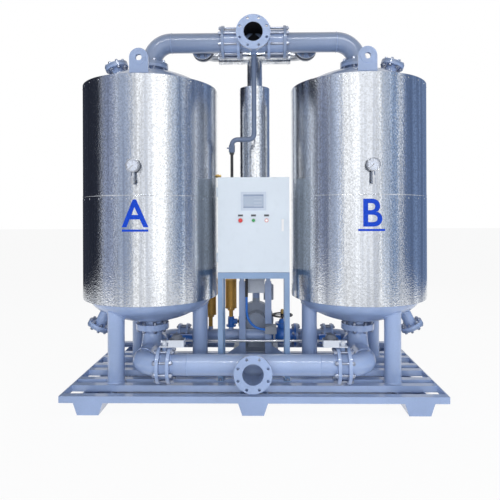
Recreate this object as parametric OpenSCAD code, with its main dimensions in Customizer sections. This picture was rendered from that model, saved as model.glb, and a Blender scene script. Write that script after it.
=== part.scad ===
// Twin-tower desiccant air dryer on a skid, in millimetres.
// +Z is up, -Y is the front. The origin is under the middle of the skid, on the floor.

/* [Skid] */
// Length of the skid
skid_l = 2880; // [2800:10:3000]
// Distance from the tower plane to the skid's front edge
skid_front = 690; // [670:5:760]
// Distance from the tower plane to the skid's back edge
skid_back = 830; // [815:5:900]
// Height of the skid's top above the floor
skid_top = 140; // [120:5:170]
// Height of the beams and rails
beam_h = 50; // [40:2:70]
// Width of the front and back beams
beam_w = 60; // [50:2:80]
// Width of one rail
rail_w = 62; // [54:2:70]
// Gap between the two rails of a pair
rail_gap = 75; // [65:5:80]
// Steel thickness of beams, rails and runners
skid_wall = 6; // [4:1:8]
// Distance of the outer runners from the middle
runner_x = 1222; // [1150:2:1280]
// Width of a runner at its top
runner_top = 220; // [190:5:260]
// Width of a runner on the floor
runner_base = 160; // [130:5:180]

/* [Towers] */
// Distance of each tower's axis from the middle
tower_x = 900; // [890:5:940]
// Diameter of the pressure vessel
vessel_d = 1070; // [1050:5:1080]
// Thickness of the vessel wall
vessel_wall = 8; // [6:1:12]
// Outside diameter of the sheet jacket
jacket_d = 1150; // [1130:5:1160]
// Thickness of the jacket sheet
sheet = 2; // [1:0.5:3]
// Height of the jacket's lower edge
jacket_z = 775; // [750:5:820]
// Height of the jacket
jacket_h = 1785; // [1700:5:1900]
// Height of the lower jacket ring up to the seam
seam_h = 845; // [750:5:900]
// How far the jacket reaches past the lower shell end
skirt_low = 50; // [40:5:60]
// How far the jacket reaches past the upper shell end
skirt_high = 100; // [90:5:115]
// Diameter of a leg
leg_d = 133; // [114:1:150]
// Wall of a leg
leg_wall = 6; // [4:1:10]
// Radius of the circle on which the legs stand
leg_circle = 420; // [400:5:425]
// Height of the top nozzle's face above the head
nozzle_top = 44; // [40:2:80]
// Depth of the bottom nozzle's face below the head
nozzle_low = 48; // [44:2:80]
// Tilt of the fill port from the tower's axis
fill_tilt = 19; // [17:0.5:22]
// Tilt of the drain port from the tower's axis
drain_tilt = 27.5; // [25:0.5:27.5]
// Height of the fill port's face above the head
fill_reach = 100; // [80:5:120]
// Height of the drain port's face above the head
drain_reach = 165; // [150:5:190]
// Distance of the lifting lugs from the tower's axis
lug_r = 440; // [425:5:450]
// Width of a lifting lug
lug_w = 150; // [120:5:180]
// Height of a lug's eye above the upper shell end
lug_rise = 260; // [240:5:290]
// Diameter of a lug's eye
lug_eye = 50; // [40:2:60]
// Thickness of a lug
lug_t = 20; // [14:1:24]

/* [Main line] */
// Outside diameter of the main pipes
pipe_d = 168.3; // [159:0.1:170]
// Wall of the main pipes
pipe_wall = 5; // [4:0.5:7]
// Diameter of the main flanges
flange_d = 285; // [280:1:300]
// Bolt circle of the main flanges
flange_pcd = 240; // [238:1:250]
// Bolt hole of the main flanges
flange_hole = 23; // [20:1:24]
// Thickness of the main flanges
flange_t = 24; // [20:1:30]
// Bend radius of the upper elbows
upper_bend = 180; // [160:5:200]
// Bend radius of the lower elbows
lower_bend = 152; // [140:1:165]
// Straight stretch between flange and elbow at the top
upper_neck = 5; // [2:1:40]
// Straight stretch between flange and elbow at the bottom
lower_neck = 29; // [10:1:50]
// Distance of the inlet line in front of the tower plane
inlet_y = 460; // [455:1:480]
// Reach of the inlet flange in front of its line
inlet_reach = 230; // [200:1:230]
// Reach of the outlet flange in front of its line
outlet_reach = 270; // [200:5:300]
// Half length of the outlet tee, face to middle
tee_half = 144; // [140:1:170]
// Length of a check valve
check_l = 112; // [106:1:120]
// Diameter of a check valve
check_d = 214; // [208:1:215]
// Length of an inlet butterfly valve
butterfly_l = 56; // [50:1:60]

/* [Exhaust and hot line] */
// Outside diameter of the exhaust pipes
exhaust_d = 114.3; // [108:0.1:115]
// Wall of the exhaust pipes
exhaust_wall = 4; // [3:0.5:6]
// Diameter of the exhaust flanges
exhaust_flange_d = 220; // [215:1:226]
// Bolt circle of the exhaust flanges
exhaust_pcd = 180; // [178:1:184]
// Bolt hole of the exhaust and hot flanges
small_hole = 18; // [14:1:18]
// Thickness of the exhaust and hot flanges
small_flange_t = 20; // [16:1:22]
// Distance of the exhaust line behind the tower plane
exhaust_y = 470; // [465:1:475]
// Bend radius of the exhaust elbows
exhaust_bend = 150; // [140:1:155]
// Length of an exhaust butterfly valve
exhaust_valve_l = 52; // [48:1:56]
// Outside diameter of the hot pipe
hot_d = 88.9; // [80:0.1:90]
// Wall of the hot pipe
hot_wall = 4; // [3:0.5:5]
// Diameter of the hot flanges
hot_flange_d = 200; // [196:1:204]
// Bolt circle of the hot flanges
hot_pcd = 160; // [156:1:164]
// Distance of the hot line's ends from the middle
hot_x = 470; // [460:5:480]
// Bend radius of the hot elbows
hot_bend = 114; // [110:1:125]
// Diameter of the lagging on the hot line
hot_lagging_d = 144; // [130:1:150]
// Length of a hot-side check valve
hot_check_l = 60; // [50:1:66]

/* [Heater and blower] */
// Distance of the heater behind the tower plane
heater_y = 370; // [365:1:372]
// Diameter of the heater's lagging
heater_d = 286; // [270:1:300]
// Diameter of the heater's pipe
heater_pipe_d = 219; // [200:1:225]
// Height of the heater's bottom flange
heater_z = 930; // [920:5:960]
// Height of the heater's lagging
heater_h = 1740; // [1650:10:1750]
// Diameter of the heater's bottom flange
heater_flange_d = 340; // [330:2:344]
// Half distance between the heater's posts, left to right
post_x = 122; // [120:1:130]
// Distance of the posts in front of the heater's axis
post_y = 60; // [58:1:64]
// Width of a heater post
post_w = 60; // [50:2:62]
// Height of the blower's shaft above the skid
shaft_h = 250; // [230:5:270]
// Diameter of the blower's motor
motor_d = 200; // [180:5:210]
// Diameter of the blower's housing
blower_d = 360; // [320:5:380]
// Diameter of a muffler
muffler_d = 108; // [96:2:110]
// Length of a muffler
muffler_l = 280; // [240:5:300]

/* [Cabinet] */
// Width of the cabinet
cabinet_w = 580; // [560:5:590]
// Height of the cabinet
cabinet_h = 770; // [740:5:800]
// Depth of the cabinet without its door
cabinet_depth = 228; // [210:2:240]
// Thickness of the cabinet door
door_t = 20; // [16:1:24]
// Distance of the door's face in front of the tower plane
door_y = 350; // [345:1:355]
// Height of the cabinet's underside
cabinet_z = 1010; // [980:5:1040]
// Width of the stand's square tubes
stand_w = 40; // [36:1:44]
// Width of the touch panel's frame
panel_w = 204; // [190:2:230]
// Height of the touch panel's frame
panel_h = 150; // [130:2:160]
// Distance between neighbouring buttons
button_pitch = 105; // [90:1:110]
// Diameter of a button's stem
button_d = 22; // [18:1:24]
// Travel of a button
button_travel = 4; // [3:0.5:6]

/* [Instruments] */
// Diameter of a pressure gauge
gauge_d = 100; // [90:2:110]
// Height of the gauge branch above the seam
gauge_rise = 110; // [90:5:140]
// Diameter of the instrument pipe
instrument_d = 42; // [34:1:44]
// Drop of the instrument pipe below the outlet line
instrument_drop = 850; // [800:10:900]
// Diameter of the control hose
hose_d = 26; // [20:1:28]

/* [Hidden] */
$fn = 64;
fit = 0.3;
plane_y = (skid_front - skid_back) / 2;
beam_z = skid_top - beam_h;
pair_offset = (rail_gap + rail_w) / 2;
row_y = leg_circle * sin(60);

vessel_r = vessel_d / 2;
crown_r = 0.8 * vessel_d;
knuckle_r = 0.154 * vessel_d;
crown_drop = sqrt(pow(crown_r - knuckle_r, 2) - pow(vessel_r - knuckle_r, 2));
head_rise = crown_r - crown_drop;
shell_low = jacket_z + skirt_low;
shell_high = jacket_z + jacket_h - skirt_high;
seam_z = jacket_z + seam_h;
jacket_r = jacket_d / 2;
crown_low_z = shell_low + crown_drop;
crown_high_z = shell_high - crown_drop;
top_joint = shell_high + head_rise + nozzle_top;
low_joint = shell_low - head_rise - nozzle_low;
outlet_z = top_joint + flange_t + upper_neck + upper_bend;
inlet_z = low_joint - flange_t - lower_neck - lower_bend;

pipe_r = pipe_d / 2;
bore_r = pipe_r - pipe_wall;
exhaust_r = exhaust_d / 2;
exhaust_bore_r = exhaust_r - exhaust_wall;
hot_r = hot_d / 2;
hot_bore_r = hot_r - hot_wall;
port_r = 49;
port_flange_r = 100;
port_pcd = 160;

check_far = tee_half + check_l;
outlet_run = check_far + flange_t;
seat_t = 20;
seat_r = bore_r - 29;
flap_r = seat_r + 6;
flap_t = 8;
flap_pin_r = 5;
flap_pin_z = flap_r + flap_pin_r + 1;
chamber_r = bore_r - 1;

butterfly_x = tower_x - lower_bend - flange_t - butterfly_l / 2;
butterfly_r = 106;
stem_r = 9;
neck_top = flange_d / 2 + 6;
exhaust_valve_x = tower_x - exhaust_bend - 4 - small_flange_t - exhaust_valve_l / 2;
exhaust_valve_r = 80;
exhaust_neck = 100;
heel_y = 150;

door_w = cabinet_w - 4;
door_h = cabinet_h - 4;
door_sheet = 2;
box_front = -door_y + door_t + fit;
box_back = box_front + cabinet_depth;
panel_z = cabinet_z + cabinet_h - 195;
button_z = cabinet_z + cabinet_h - 350;
handle_x = cabinet_w / 2 - 56;
handle_z = cabinet_z + cabinet_h / 2;

heater_r = heater_d / 2;
heater_top = heater_z + heater_h;
heater_pipe_r = heater_pipe_d / 2;
element_t = 24;
blower_base_t = 10;
shaft_z = skid_top + shaft_h;
blower_nozzle_r = 38;
heater_inlet_z = heater_z + 90;
riser_y = skid_back - 58;

throttle_x = 260;
throttle_half = 130;
vent_x = -240;
muffler_x = -440;

gauge_z = seam_z + gauge_rise;
gauge_y = jacket_r + 45;
dial_z = gauge_z + 70 + gauge_d / 2;
instrument_z = outlet_z - instrument_drop;
hose_x = -196;
hose_low_x = -77;

paint = "lightsteelblue";

// Puts a piece that is drawn about the tower plane into the part's frame
module placed() {
    translate([0, plane_y, 0]) children();
}

// Draws the left side's piece for tower A, or its mirror image for tower B
module side(tower) {
    placed() mirror([tower == "b" ? 1 : 0, 0, 0]) children();
}

module both() {
    for (tower = ["a", "b"]) side(tower) children();
}

module along_x(r, x1, x2) {
    translate([x1, 0, 0]) rotate([0, 90, 0]) cylinder(r = r, h = x2 - x1);
}

module along_y(r, y1, y2) {
    translate([0, y1, 0]) rotate([-90, 0, 0]) cylinder(r = r, h = y2 - y1);
}

module box(x1, x2, y1, y2, z1, z2) {
    translate([x1, y1, z1]) cube([x2 - x1, y2 - y1, z2 - z1]);
}

// Quarter bend of a round bar in the plane of its local x and y, from start degrees on
module bend(bend_r, r, start) {
    rotate([0, 0, start]) rotate_extrude(angle = 90) translate([bend_r, 0]) circle(r);
}

// Turns the local x and y plane upright, into X and Z or into Y and Z
module upright_xz() {
    rotate([90, 0, 0]) children();
}

module upright_yz() {
    rotate([90, 0, 90]) children();
}

// Flange without its bore, from z = 0 up
module flange(d, pcd, hole, t, count = 8) {
    difference() {
        cylinder(d = d, h = t);
        for (i = [0:count - 1])
            rotate([0, 0, (i + 0.5) * 360 / count])
                translate([pcd / 2, 0, -1]) cylinder(d = hole, h = t + 2);
    }
}

module main_flange_x(x) {
    translate([x, 0, 0]) rotate([0, 90, 0]) flange(flange_d, flange_pcd, flange_hole, flange_t);
}

module exhaust_flange_x(x) {
    translate([x, 0, 0]) rotate([0, 90, 0])
        flange(exhaust_flange_d, exhaust_pcd, small_hole, small_flange_t);
}

module hot_flange_y(y) {
    translate([0, y, 0]) rotate([-90, 0, 0])
        flange(hot_flange_d, hot_pcd, small_hole, small_flange_t);
}

// Half section of a dished head that stands on z = 0, with its skin moved out by grow
module head_section(grow) {
    slope = asin((vessel_r - knuckle_r) / (crown_r - knuckle_r));
    meet = (crown_r + grow) * sin(slope);
    intersection() {
        translate([0, -crown_drop]) circle(crown_r + grow, $fn = 256);
        square([meet, vessel_r]);
    }
    intersection() {
        translate([vessel_r - knuckle_r, 0]) circle(knuckle_r + grow);
        translate([meet, 0]) square([vessel_r, vessel_r]);
    }
}

module vessel_section(grow) {
    translate([0, shell_low]) square([vessel_r + grow, shell_high - shell_low]);
    translate([0, shell_high]) head_section(grow);
    translate([0, shell_low]) mirror([0, 1]) head_section(grow);
}

module vessel_body(grow) {
    rotate_extrude($fn = 128) vessel_section(grow);
}

// Radius of the head's skin at a height past the shell's end
function head_r(rise) = vessel_r - knuckle_r + sqrt(pow(knuckle_r, 2) - pow(rise, 2));

module at_tower() {
    translate([-tower_x, 0, 0]) children();
}

// Local z runs out along the port's axis from the middle of the head's crown
module at_fill() {
    translate([0, 0, crown_high_z]) rotate([0, -fill_tilt, 0]) children();
}

module at_drain() {
    translate([0, 0, crown_low_z]) rotate([0, 180 + drain_tilt, 0]) children();
}

module port_neck(reach) {
    face = crown_r + reach;
    translate([0, 0, crown_r - 30]) cylinder(r = port_r, h = reach + 30);
    translate([0, 0, face - small_flange_t])
        flange(2 * port_flange_r, port_pcd, small_hole, small_flange_t);
}

module port_bore(reach) {
    translate([0, 0, crown_r - 60]) cylinder(r = port_r - 5, h = reach + 62);
}

// Lifting plate with a round head, standing on the vessel's upper head
cheek_r = 56;
cheek_t = 4;
module lug() {
    eye_z = shell_high + lug_rise;
    translate([0, lug_t / 2 + cheek_t, eye_z]) rotate([90, 0, 0]) linear_extrude(lug_t + 2 * cheek_t)
        difference() {
            circle(cheek_r);
            circle(d = lug_eye);
        }
    translate([0, lug_t / 2, 0]) rotate([90, 0, 0]) linear_extrude(lug_t) difference() {
        union() {
            translate([0, eye_z]) circle(d = lug_w);
            translate([-lug_w / 2, shell_high + 80]) square([lug_w, lug_rise - 80]);
        }
        translate([0, eye_z]) circle(d = lug_eye);
    }
}

module tower_vessel() {
    at_tower() difference() {
        union() {
            vessel_body(0);
            translate([0, 0, shell_high]) cylinder(r = pipe_r, h = top_joint - shell_high);
            translate([0, 0, top_joint - flange_t])
                flange(flange_d, flange_pcd, flange_hole, flange_t);
            translate([0, 0, low_joint]) cylinder(r = pipe_r, h = shell_low - low_joint);
            translate([0, 0, low_joint]) flange(flange_d, flange_pcd, flange_hole, flange_t);
            at_fill() port_neck(fill_reach);
            at_drain() port_neck(drain_reach);
            for (turn = [0, 180]) rotate([0, 0, turn]) translate([0, -lug_r, 0]) lug();
            translate([0, 0, gauge_z]) along_y(18, -vessel_r - 12, -vessel_r + 10);
        }
        vessel_body(-vessel_wall);
        translate([0, 0, low_joint - 1]) cylinder(r = bore_r, h = top_joint - low_joint + 2);
        at_fill() port_bore(fill_reach);
        at_drain() port_bore(drain_reach);
        translate([0, 0, gauge_z]) along_y(10.5 + fit, -vessel_r - 13, -vessel_r + 20);
    }
}

module tower_a_vessel() { color(paint) side("a") tower_vessel(); }
module tower_b_vessel() { color(paint) side("b") tower_vessel(); }

// Lower half of the ball that the head's crown is cut from, which copes the legs
module crown_ball() {
    rotate_extrude($fn = 256) intersection() {
        circle(crown_r, $fn = 512);
        translate([0, -crown_r]) square(crown_r);
    }
}

module tower_legs() {
    color(paint) both() at_tower() for (turn = [0, 120, 240]) rotate([0, 0, turn])
        translate([leg_circle, 0, 0]) difference() {
            translate([0, 0, skid_top]) cylinder(d = leg_d, h = shell_low - skid_top);
            translate([0, 0, skid_top - 1])
                cylinder(d = leg_d - 2 * leg_wall, h = shell_low - skid_top + 2);
            translate([-leg_circle, 0, crown_low_z]) rotate([0, 0, 90]) crown_ball();
        }
}

// Way through jacket and insulation for the gauge branch
module gauge_way() {
    translate([0, 0, gauge_z]) along_y(20, -jacket_r - 10, -vessel_r + 20);
}

module lower_jackets() {
    lip = head_r(skirt_low - sheet) + fit;
    color("gainsboro") both() at_tower() translate([0, 0, jacket_z]) rotate_extrude($fn = 128) polygon([
        [lip, 0], [jacket_r, 0], [jacket_r, seam_h],
        [jacket_r - sheet, seam_h], [jacket_r - sheet, sheet], [lip, sheet],
    ]);
}

module upper_jackets() {
    color("gainsboro") both() at_tower() difference() {
        rotate_extrude($fn = 128) {
            translate([jacket_r - sheet, seam_z]) square([sheet, jacket_h - seam_h]);
            lip = head_r(skirt_high - sheet) + fit;
            translate([lip, jacket_z + jacket_h - sheet]) square([jacket_r - lip, sheet]);
            translate([jacket_r - 1, seam_z + 8]) circle(4);
        }
        gauge_way();
    }
}

module insulation() {
    color("khaki") both() at_tower() difference() {
        rotate_extrude($fn = 128) difference() {
            translate([0, jacket_z + sheet + fit])
                square([jacket_r - sheet - 4, jacket_h - 2 * (sheet + fit)]);
            vessel_section(fit);
        }
        gauge_way();
    }
}

screen_t = 10;
module desiccant_beds() {
    color("ivory") both() at_tower() translate([0, 0, shell_low + 2 * screen_t])
        cylinder(r = vessel_r - vessel_wall - fit, h = shell_high - shell_low - 4 * screen_t, $fn = 128);
}

module bed_screens() {
    color("silver") both() at_tower() for (z = [shell_low + screen_t, shell_high - 2 * screen_t])
        translate([0, 0, z]) cylinder(r = vessel_r - vessel_wall - fit, h = screen_t, $fn = 128);
}

module port_covers() {
    color(paint) both() at_tower() {
        at_fill() translate([0, 0, crown_r + fill_reach])
            flange(2 * port_flange_r, port_pcd, small_hole, small_flange_t);
        at_drain() translate([0, 0, crown_r + drain_reach])
            flange(2 * port_flange_r, port_pcd, small_hole, small_flange_t);
    }
}

gauge_back = gauge_y - 22;
gauge_front = gauge_y + 25;
dial_y = gauge_front - 12;
cock_h = 84;
module gauge_cases() {
    color("dimgray") both() at_tower() difference() {
        union() {
            translate([0, 0, dial_z]) along_y(gauge_d / 2, -gauge_front, -gauge_back);
            translate([0, -gauge_y, gauge_z + cock_h - 18])
                cylinder(r = 9, h = dial_z - gauge_z - cock_h + 18);
        }
        translate([0, 0, dial_z]) along_y(gauge_d / 2 - 5, -gauge_front - 1, -dial_y);
    }
}

module gauge_lenses() {
    color("aliceblue") both() at_tower() translate([0, 0, dial_z])
        along_y(gauge_d / 2 - 5 - fit, -gauge_front + 2, -gauge_front + 4);
}

// Needle at its zero mark, which both gauges have at the lower left
module gauge_needle(x) {
    placed() translate([x, 0, dial_z]) {
        along_y(4, -dial_y - 4, -dial_y - fit);
        rotate([0, -135, 0]) box(-1.5, 1.5, -dial_y - 3.5, -dial_y - 2, 0, gauge_d / 2 - 14);
    }
}

module gauge_needle_a() { color("black") gauge_needle(-tower_x); }
module gauge_needle_b() { color("black") gauge_needle(tower_x); }

module gauge_cocks() {
    color("goldenrod") both() at_tower() difference() {
        union() {
            translate([0, 0, gauge_z]) along_y(10.5, -gauge_y, -vessel_r + 2);
            translate([0, -gauge_y, gauge_z - 16]) cylinder(r = 15, h = cock_h);
            translate([0, 0, gauge_z + 30]) along_y(12, -gauge_y - 20, -gauge_y);
        }
        translate([0, -gauge_y, gauge_z + cock_h - 18]) cylinder(r = 9 + fit, h = 20);
        translate([0, 0, gauge_z + 30]) along_y(4 + fit, -gauge_y - 21, -gauge_y - 8);
    }
}

module cock_lever() {
    at_tower() translate([0, 0, gauge_z + 30]) {
        along_y(4, -gauge_y - 22, -gauge_y - 9);
        along_y(9, -gauge_y - 26, -gauge_y - 20 - fit);
        box(-6, 6, -gauge_y - 25, -gauge_y - 21, -58, 0);
    }
}

module cock_lever_a() { color("firebrick") side("a") cock_lever(); }
module cock_lever_b() { color("firebrick") side("b") cock_lever(); }

// Middle line of an outlet pipe as a round bar of radius r, longer by extra at both ends
module outlet_path(r, extra) {
    translate([-tower_x, 0, top_joint - extra])
        cylinder(r = r, h = flange_t + upper_neck + extra);
    translate([-tower_x + upper_bend, 0, outlet_z - upper_bend]) upright_xz() bend(upper_bend, r, 90);
    translate([0, 0, outlet_z]) along_x(r, -tower_x + upper_bend, -check_far + extra);
}

hot_stub_y = pipe_r + 48;
module outlet_pipe() {
    difference() {
        union() {
            outlet_path(pipe_r, 0);
            translate([-tower_x, 0, top_joint]) flange(flange_d, flange_pcd, flange_hole, flange_t);
            translate([0, 0, outlet_z]) main_flange_x(-outlet_run);
            translate([-hot_x, 0, outlet_z]) along_y(hot_r, 0, hot_stub_y);
            translate([-hot_x, 0, outlet_z]) hot_flange_y(hot_stub_y - small_flange_t);
        }
        outlet_path(bore_r, 1);
        translate([-hot_x, 0, outlet_z]) along_y(hot_bore_r, 0, hot_stub_y + 1);
    }
}

module outlet_pipe_a() { color(paint) side("a") outlet_pipe(); }
module outlet_pipe_b() { color(paint) side("b") outlet_pipe(); }

coupling_bore_r = instrument_d / 2 + fit;
coupling_r = coupling_bore_r + 6;
coupling_low = outlet_z - pipe_r - 24;
module outlet_tee() {
    color(paint) placed() translate([0, 0, outlet_z]) difference() {
        union() {
            difference() {
                union() {
                    along_x(pipe_r, -tee_half, tee_half);
                    for (x = [-tee_half, tee_half - flange_t]) main_flange_x(x);
                    along_y(pipe_r, -outlet_reach, 0);
                    translate([0, -outlet_reach + flange_t, 0]) rotate([90, 0, 0])
                        flange(flange_d, flange_pcd, flange_hole, flange_t);
                }
                along_x(bore_r, -tee_half - 1, tee_half + 1);
                along_y(bore_r, -outlet_reach - 1, 0);
            }
            difference() {
                translate([0, 0, coupling_low - outlet_z]) cylinder(r = coupling_r, h = outlet_z - coupling_low);
                along_x(pipe_r - pipe_wall / 2, -tee_half, tee_half);
            }
        }
        translate([0, 0, coupling_low - outlet_z - 1]) cylinder(r = coupling_bore_r, h = pipe_r);
    }
}

module check_valve_bodies() {
    color("slategray") both() translate([0, 0, outlet_z]) difference() {
        along_x(check_d / 2, -check_far, -tee_half);
        along_x(seat_r, -check_far - 1, -tee_half);
        along_x(chamber_r, -check_far + seat_t, -tee_half + 1);
        translate([-check_far + seat_t + fit + flap_t / 2, 0, flap_pin_z])
            along_y(flap_pin_r + fit, -chamber_r, chamber_r);
    }
}

// Flap, its ear and its pin: the pin's ends turn in the valve's body
module check_flap() {
    flap_x = -check_far + seat_t + fit;
    pin_half = sqrt(pow(chamber_r, 2) - pow(flap_pin_z, 2)) + 12;
    translate([0, 0, outlet_z]) {
        along_x(flap_r, flap_x, flap_x + flap_t);
        box(flap_x, flap_x + flap_t, -18, 18, flap_r - 12, flap_pin_z);
        translate([flap_x + flap_t / 2, 0, flap_pin_z]) along_y(flap_pin_r, -pin_half, pin_half);
    }
}

module check_flap_a() { color("silver") side("a") check_flap(); }
module check_flap_b() { color("silver") side("b") check_flap(); }

stud_r = 10;
nut_r = 17;
nut_t = 18;
module check_valve_studs() {
    color("slategray") both() translate([0, 0, outlet_z]) for (i = [0:7])
        rotate([(i + 0.5) * 45, 0, 0]) translate([0, 0, flange_pcd / 2]) {
            along_x(stud_r, -outlet_run - nut_t - 8, -tee_half + flange_t + nut_t + 4);
            for (x = [-outlet_run - nut_t, -tee_half + flange_t])
                translate([x, 0, 0]) rotate([0, 90, 0]) cylinder(r = nut_r, h = nut_t, $fn = 6);
        }
}

// Middle line of an inlet pipe: down from the tower, forward and then to the middle
module inlet_path(r, extra) {
    translate([-tower_x, 0, inlet_z + lower_bend])
        cylinder(r = r, h = low_joint - inlet_z - lower_bend + extra);
    translate([-tower_x, -lower_bend, inlet_z + lower_bend]) upright_yz() bend(lower_bend, r, -90);
    translate([-tower_x, 0, inlet_z]) along_y(r, -inlet_y + lower_bend, -lower_bend);
    translate([-tower_x + lower_bend, -inlet_y + lower_bend, inlet_z]) bend(lower_bend, r, 180);
    translate([0, -inlet_y, inlet_z])
        along_x(r, -tower_x + lower_bend, -tower_x + lower_bend + flange_t + extra);
}

module inlet_pipe() {
    difference() {
        union() {
            inlet_path(pipe_r, 0);
            translate([-tower_x, 0, low_joint - flange_t])
                flange(flange_d, flange_pcd, flange_hole, flange_t);
            translate([0, -inlet_y, inlet_z]) main_flange_x(-tower_x + lower_bend);
            translate([-tower_x, 0, inlet_z]) along_y(exhaust_r, -lower_bend, heel_y);
            translate([-tower_x, heel_y - small_flange_t, inlet_z]) rotate([-90, 0, 0])
                flange(exhaust_flange_d, exhaust_pcd, small_hole, small_flange_t);
        }
        inlet_path(bore_r, 1);
        translate([-tower_x, 0, inlet_z]) along_y(exhaust_bore_r, -lower_bend, heel_y + 1);
    }
}

module inlet_pipe_a() { color(paint) side("a") inlet_pipe(); }
module inlet_pipe_b() { color(paint) side("b") inlet_pipe(); }

manifold_x = butterfly_x - butterfly_l / 2;
module inlet_manifold() {
    color(paint) placed() translate([0, -inlet_y, inlet_z]) difference() {
        union() {
            along_x(pipe_r, -manifold_x, manifold_x);
            for (x = [-manifold_x, manifold_x - flange_t]) main_flange_x(x);
            along_y(pipe_r, -inlet_reach, 0);
            translate([0, -inlet_reach + flange_t, 0]) rotate([90, 0, 0])
                flange(flange_d, flange_pcd, flange_hole, flange_t);
        }
        along_x(bore_r, -manifold_x - 1, manifold_x + 1);
        along_y(bore_r, -inlet_reach - 1, 0);
    }
}

// Wafer ring with a neck along local z, bored for the stem
module wafer(ring_r, hole_r, l, neck_h, shaft_r) {
    difference() {
        union() {
            along_x(ring_r, -l / 2, l / 2);
            cylinder(r = shaft_r + 12, h = neck_h);
        }
        along_x(hole_r, -l / 2 - 1, l / 2 + 1);
        translate([0, 0, -hole_r - 12]) cylinder(r = shaft_r + fit, h = hole_r + 13 + neck_h);
    }
}

module at_inlet_valve() {
    translate([-butterfly_x, -inlet_y, inlet_z]) children();
}

// The exhaust valve lies on its side, with its stem to the front
module at_exhaust_valve() {
    translate([-exhaust_valve_x, exhaust_y, inlet_z]) rotate([90, 0, 0]) children();
}

exhaust_stem_r = 8;
module butterfly_bodies() {
    color("steelblue") both() {
        at_inlet_valve() wafer(butterfly_r, bore_r, butterfly_l, neck_top, stem_r);
        at_exhaust_valve() wafer(exhaust_valve_r, exhaust_bore_r, exhaust_valve_l, exhaust_neck, exhaust_stem_r);
    }
}

// Disc with its hub and stem, which ends in the actuator's socket
module disc(hole_r, shaft_r, top) {
    rim_r = hole_r - 2 * fit;
    along_x(rim_r, -6, 6);
    translate([0, 0, -rim_r + 6]) cylinder(r = shaft_r + 6, h = 2 * rim_r - 12);
    translate([0, 0, -hole_r - 10]) cylinder(r = shaft_r, h = hole_r + 10 + top);
}

socket = 22;
module inlet_disc_a() { color("silver") side("a") at_inlet_valve() disc(bore_r, stem_r, neck_top + socket); }
module inlet_disc_b() { color("silver") side("b") at_inlet_valve() disc(bore_r, stem_r, neck_top + socket); }
module exhaust_disc_a() {
    color("silver") side("a") at_exhaust_valve() disc(exhaust_bore_r, exhaust_stem_r, exhaust_neck + socket);
}
module exhaust_disc_b() {
    color("silver") side("b") at_exhaust_valve() disc(exhaust_bore_r, exhaust_stem_r, exhaust_neck + socket);
}

// Drive on a plate over the valve's neck, with a cylinder to the middle and a round cap on it
drive_h = 56;
cap_h = 36;
module inlet_actuators() {
    color("lightgray") both() at_inlet_valve() translate([0, 0, neck_top]) difference() {
        union() {
            box(-34, 155, -44, 44, 0, 8);
            box(34, 155, -44, 44, 8, drive_h);
            translate([0, 0, 8]) cylinder(r = 20, h = drive_h - 20);
            translate([0, 0, drive_h - 22]) along_x(12, -32, 36);
            translate([94, 0, drive_h]) cylinder(r = 42, h = cap_h - 14);
            translate([94, 0, drive_h + cap_h - 14]) cylinder(r1 = 42, r2 = 30, h = 14);
        }
        translate([0, 0, -1]) cylinder(r = stem_r + fit, h = socket + 2);
    }
}

drive_r = 45;
drive_half = 80;
drive_end = 24;
drive_lift = 58;
module exhaust_actuators() {
    color("royalblue") both() at_exhaust_valve() translate([0, 0, exhaust_neck]) difference() {
        union() {
            cylinder(r = 26, h = 30);
            translate([0, 0, drive_lift]) {
                along_x(drive_r, -drive_half, drive_half);
                for (turn = [0, 180]) rotate([0, 0, turn]) translate([drive_half, 0, 0]) rotate([0, 90, 0])
                    cylinder(r1 = drive_r, r2 = drive_r - 5, h = drive_end);
            }
        }
        translate([0, 0, -1]) cylinder(r = exhaust_stem_r + fit, h = socket + 2);
    }
}

hot_y1 = hot_stub_y + hot_check_l;
module hot_half(r, extra) {
    translate([-hot_x, 0, outlet_z]) along_y(r, hot_y1 - extra, heater_y - hot_bend);
    translate([-hot_x + hot_bend, heater_y - hot_bend, outlet_z]) bend(hot_bend, r, 90);
}

module hot_path(r, extra) {
    for (turn = [0, 1]) mirror([turn, 0, 0]) hot_half(r, extra);
    translate([0, heater_y, outlet_z]) along_x(r, -hot_x + hot_bend, hot_x - hot_bend);
    translate([0, heater_y, heater_top - extra]) cylinder(r = r, h = outlet_z - heater_top + extra);
}

module hot_header() {
    color(paint) placed() difference() {
        union() {
            hot_path(hot_r, 0);
            for (x = [-hot_x, hot_x]) translate([x, 0, outlet_z]) hot_flange_y(hot_y1);
        }
        hot_path(hot_bore_r, 1);
    }
}

module hot_check_valves() {
    color(paint) both() translate([-hot_x, 0, outlet_z]) difference() {
        along_y(71, hot_stub_y, hot_y1);
        along_y(hot_bore_r, hot_stub_y - 1, hot_stub_y + 14);
        along_y(hot_bore_r, hot_y1 - 14, hot_y1 + 1);
    }
}

lagging_half = hot_x - hot_bend - 16;
module hot_lagging() {
    color("gainsboro") placed() translate([0, heater_y, 0]) {
        difference() {
            union() {
                translate([0, 0, outlet_z]) along_x(hot_lagging_d / 2, -lagging_half, lagging_half);
                translate([0, 0, heater_top]) cylinder(d = hot_lagging_d, h = outlet_z - heater_top);
            }
            translate([0, 0, outlet_z]) along_x(hot_r + fit, -lagging_half - 1, lagging_half + 1);
            translate([0, 0, heater_top - 1]) cylinder(r = hot_r + fit, h = outlet_z - heater_top);
        }
        difference() {
            translate([0, 0, heater_z + 40]) cylinder(r = heater_r, h = heater_h - 40);
            translate([0, 0, heater_z + 39]) cylinder(r = heater_pipe_r + fit, h = heater_h - 39 - 40 + fit);
            translate([0, 0, heater_top - 42]) cylinder(r = hot_r + fit, h = 44);
            translate([0, 0, heater_inlet_z]) along_y(blower_nozzle_r + fit, 0, heater_r + 10);
        }
    }
}

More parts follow.
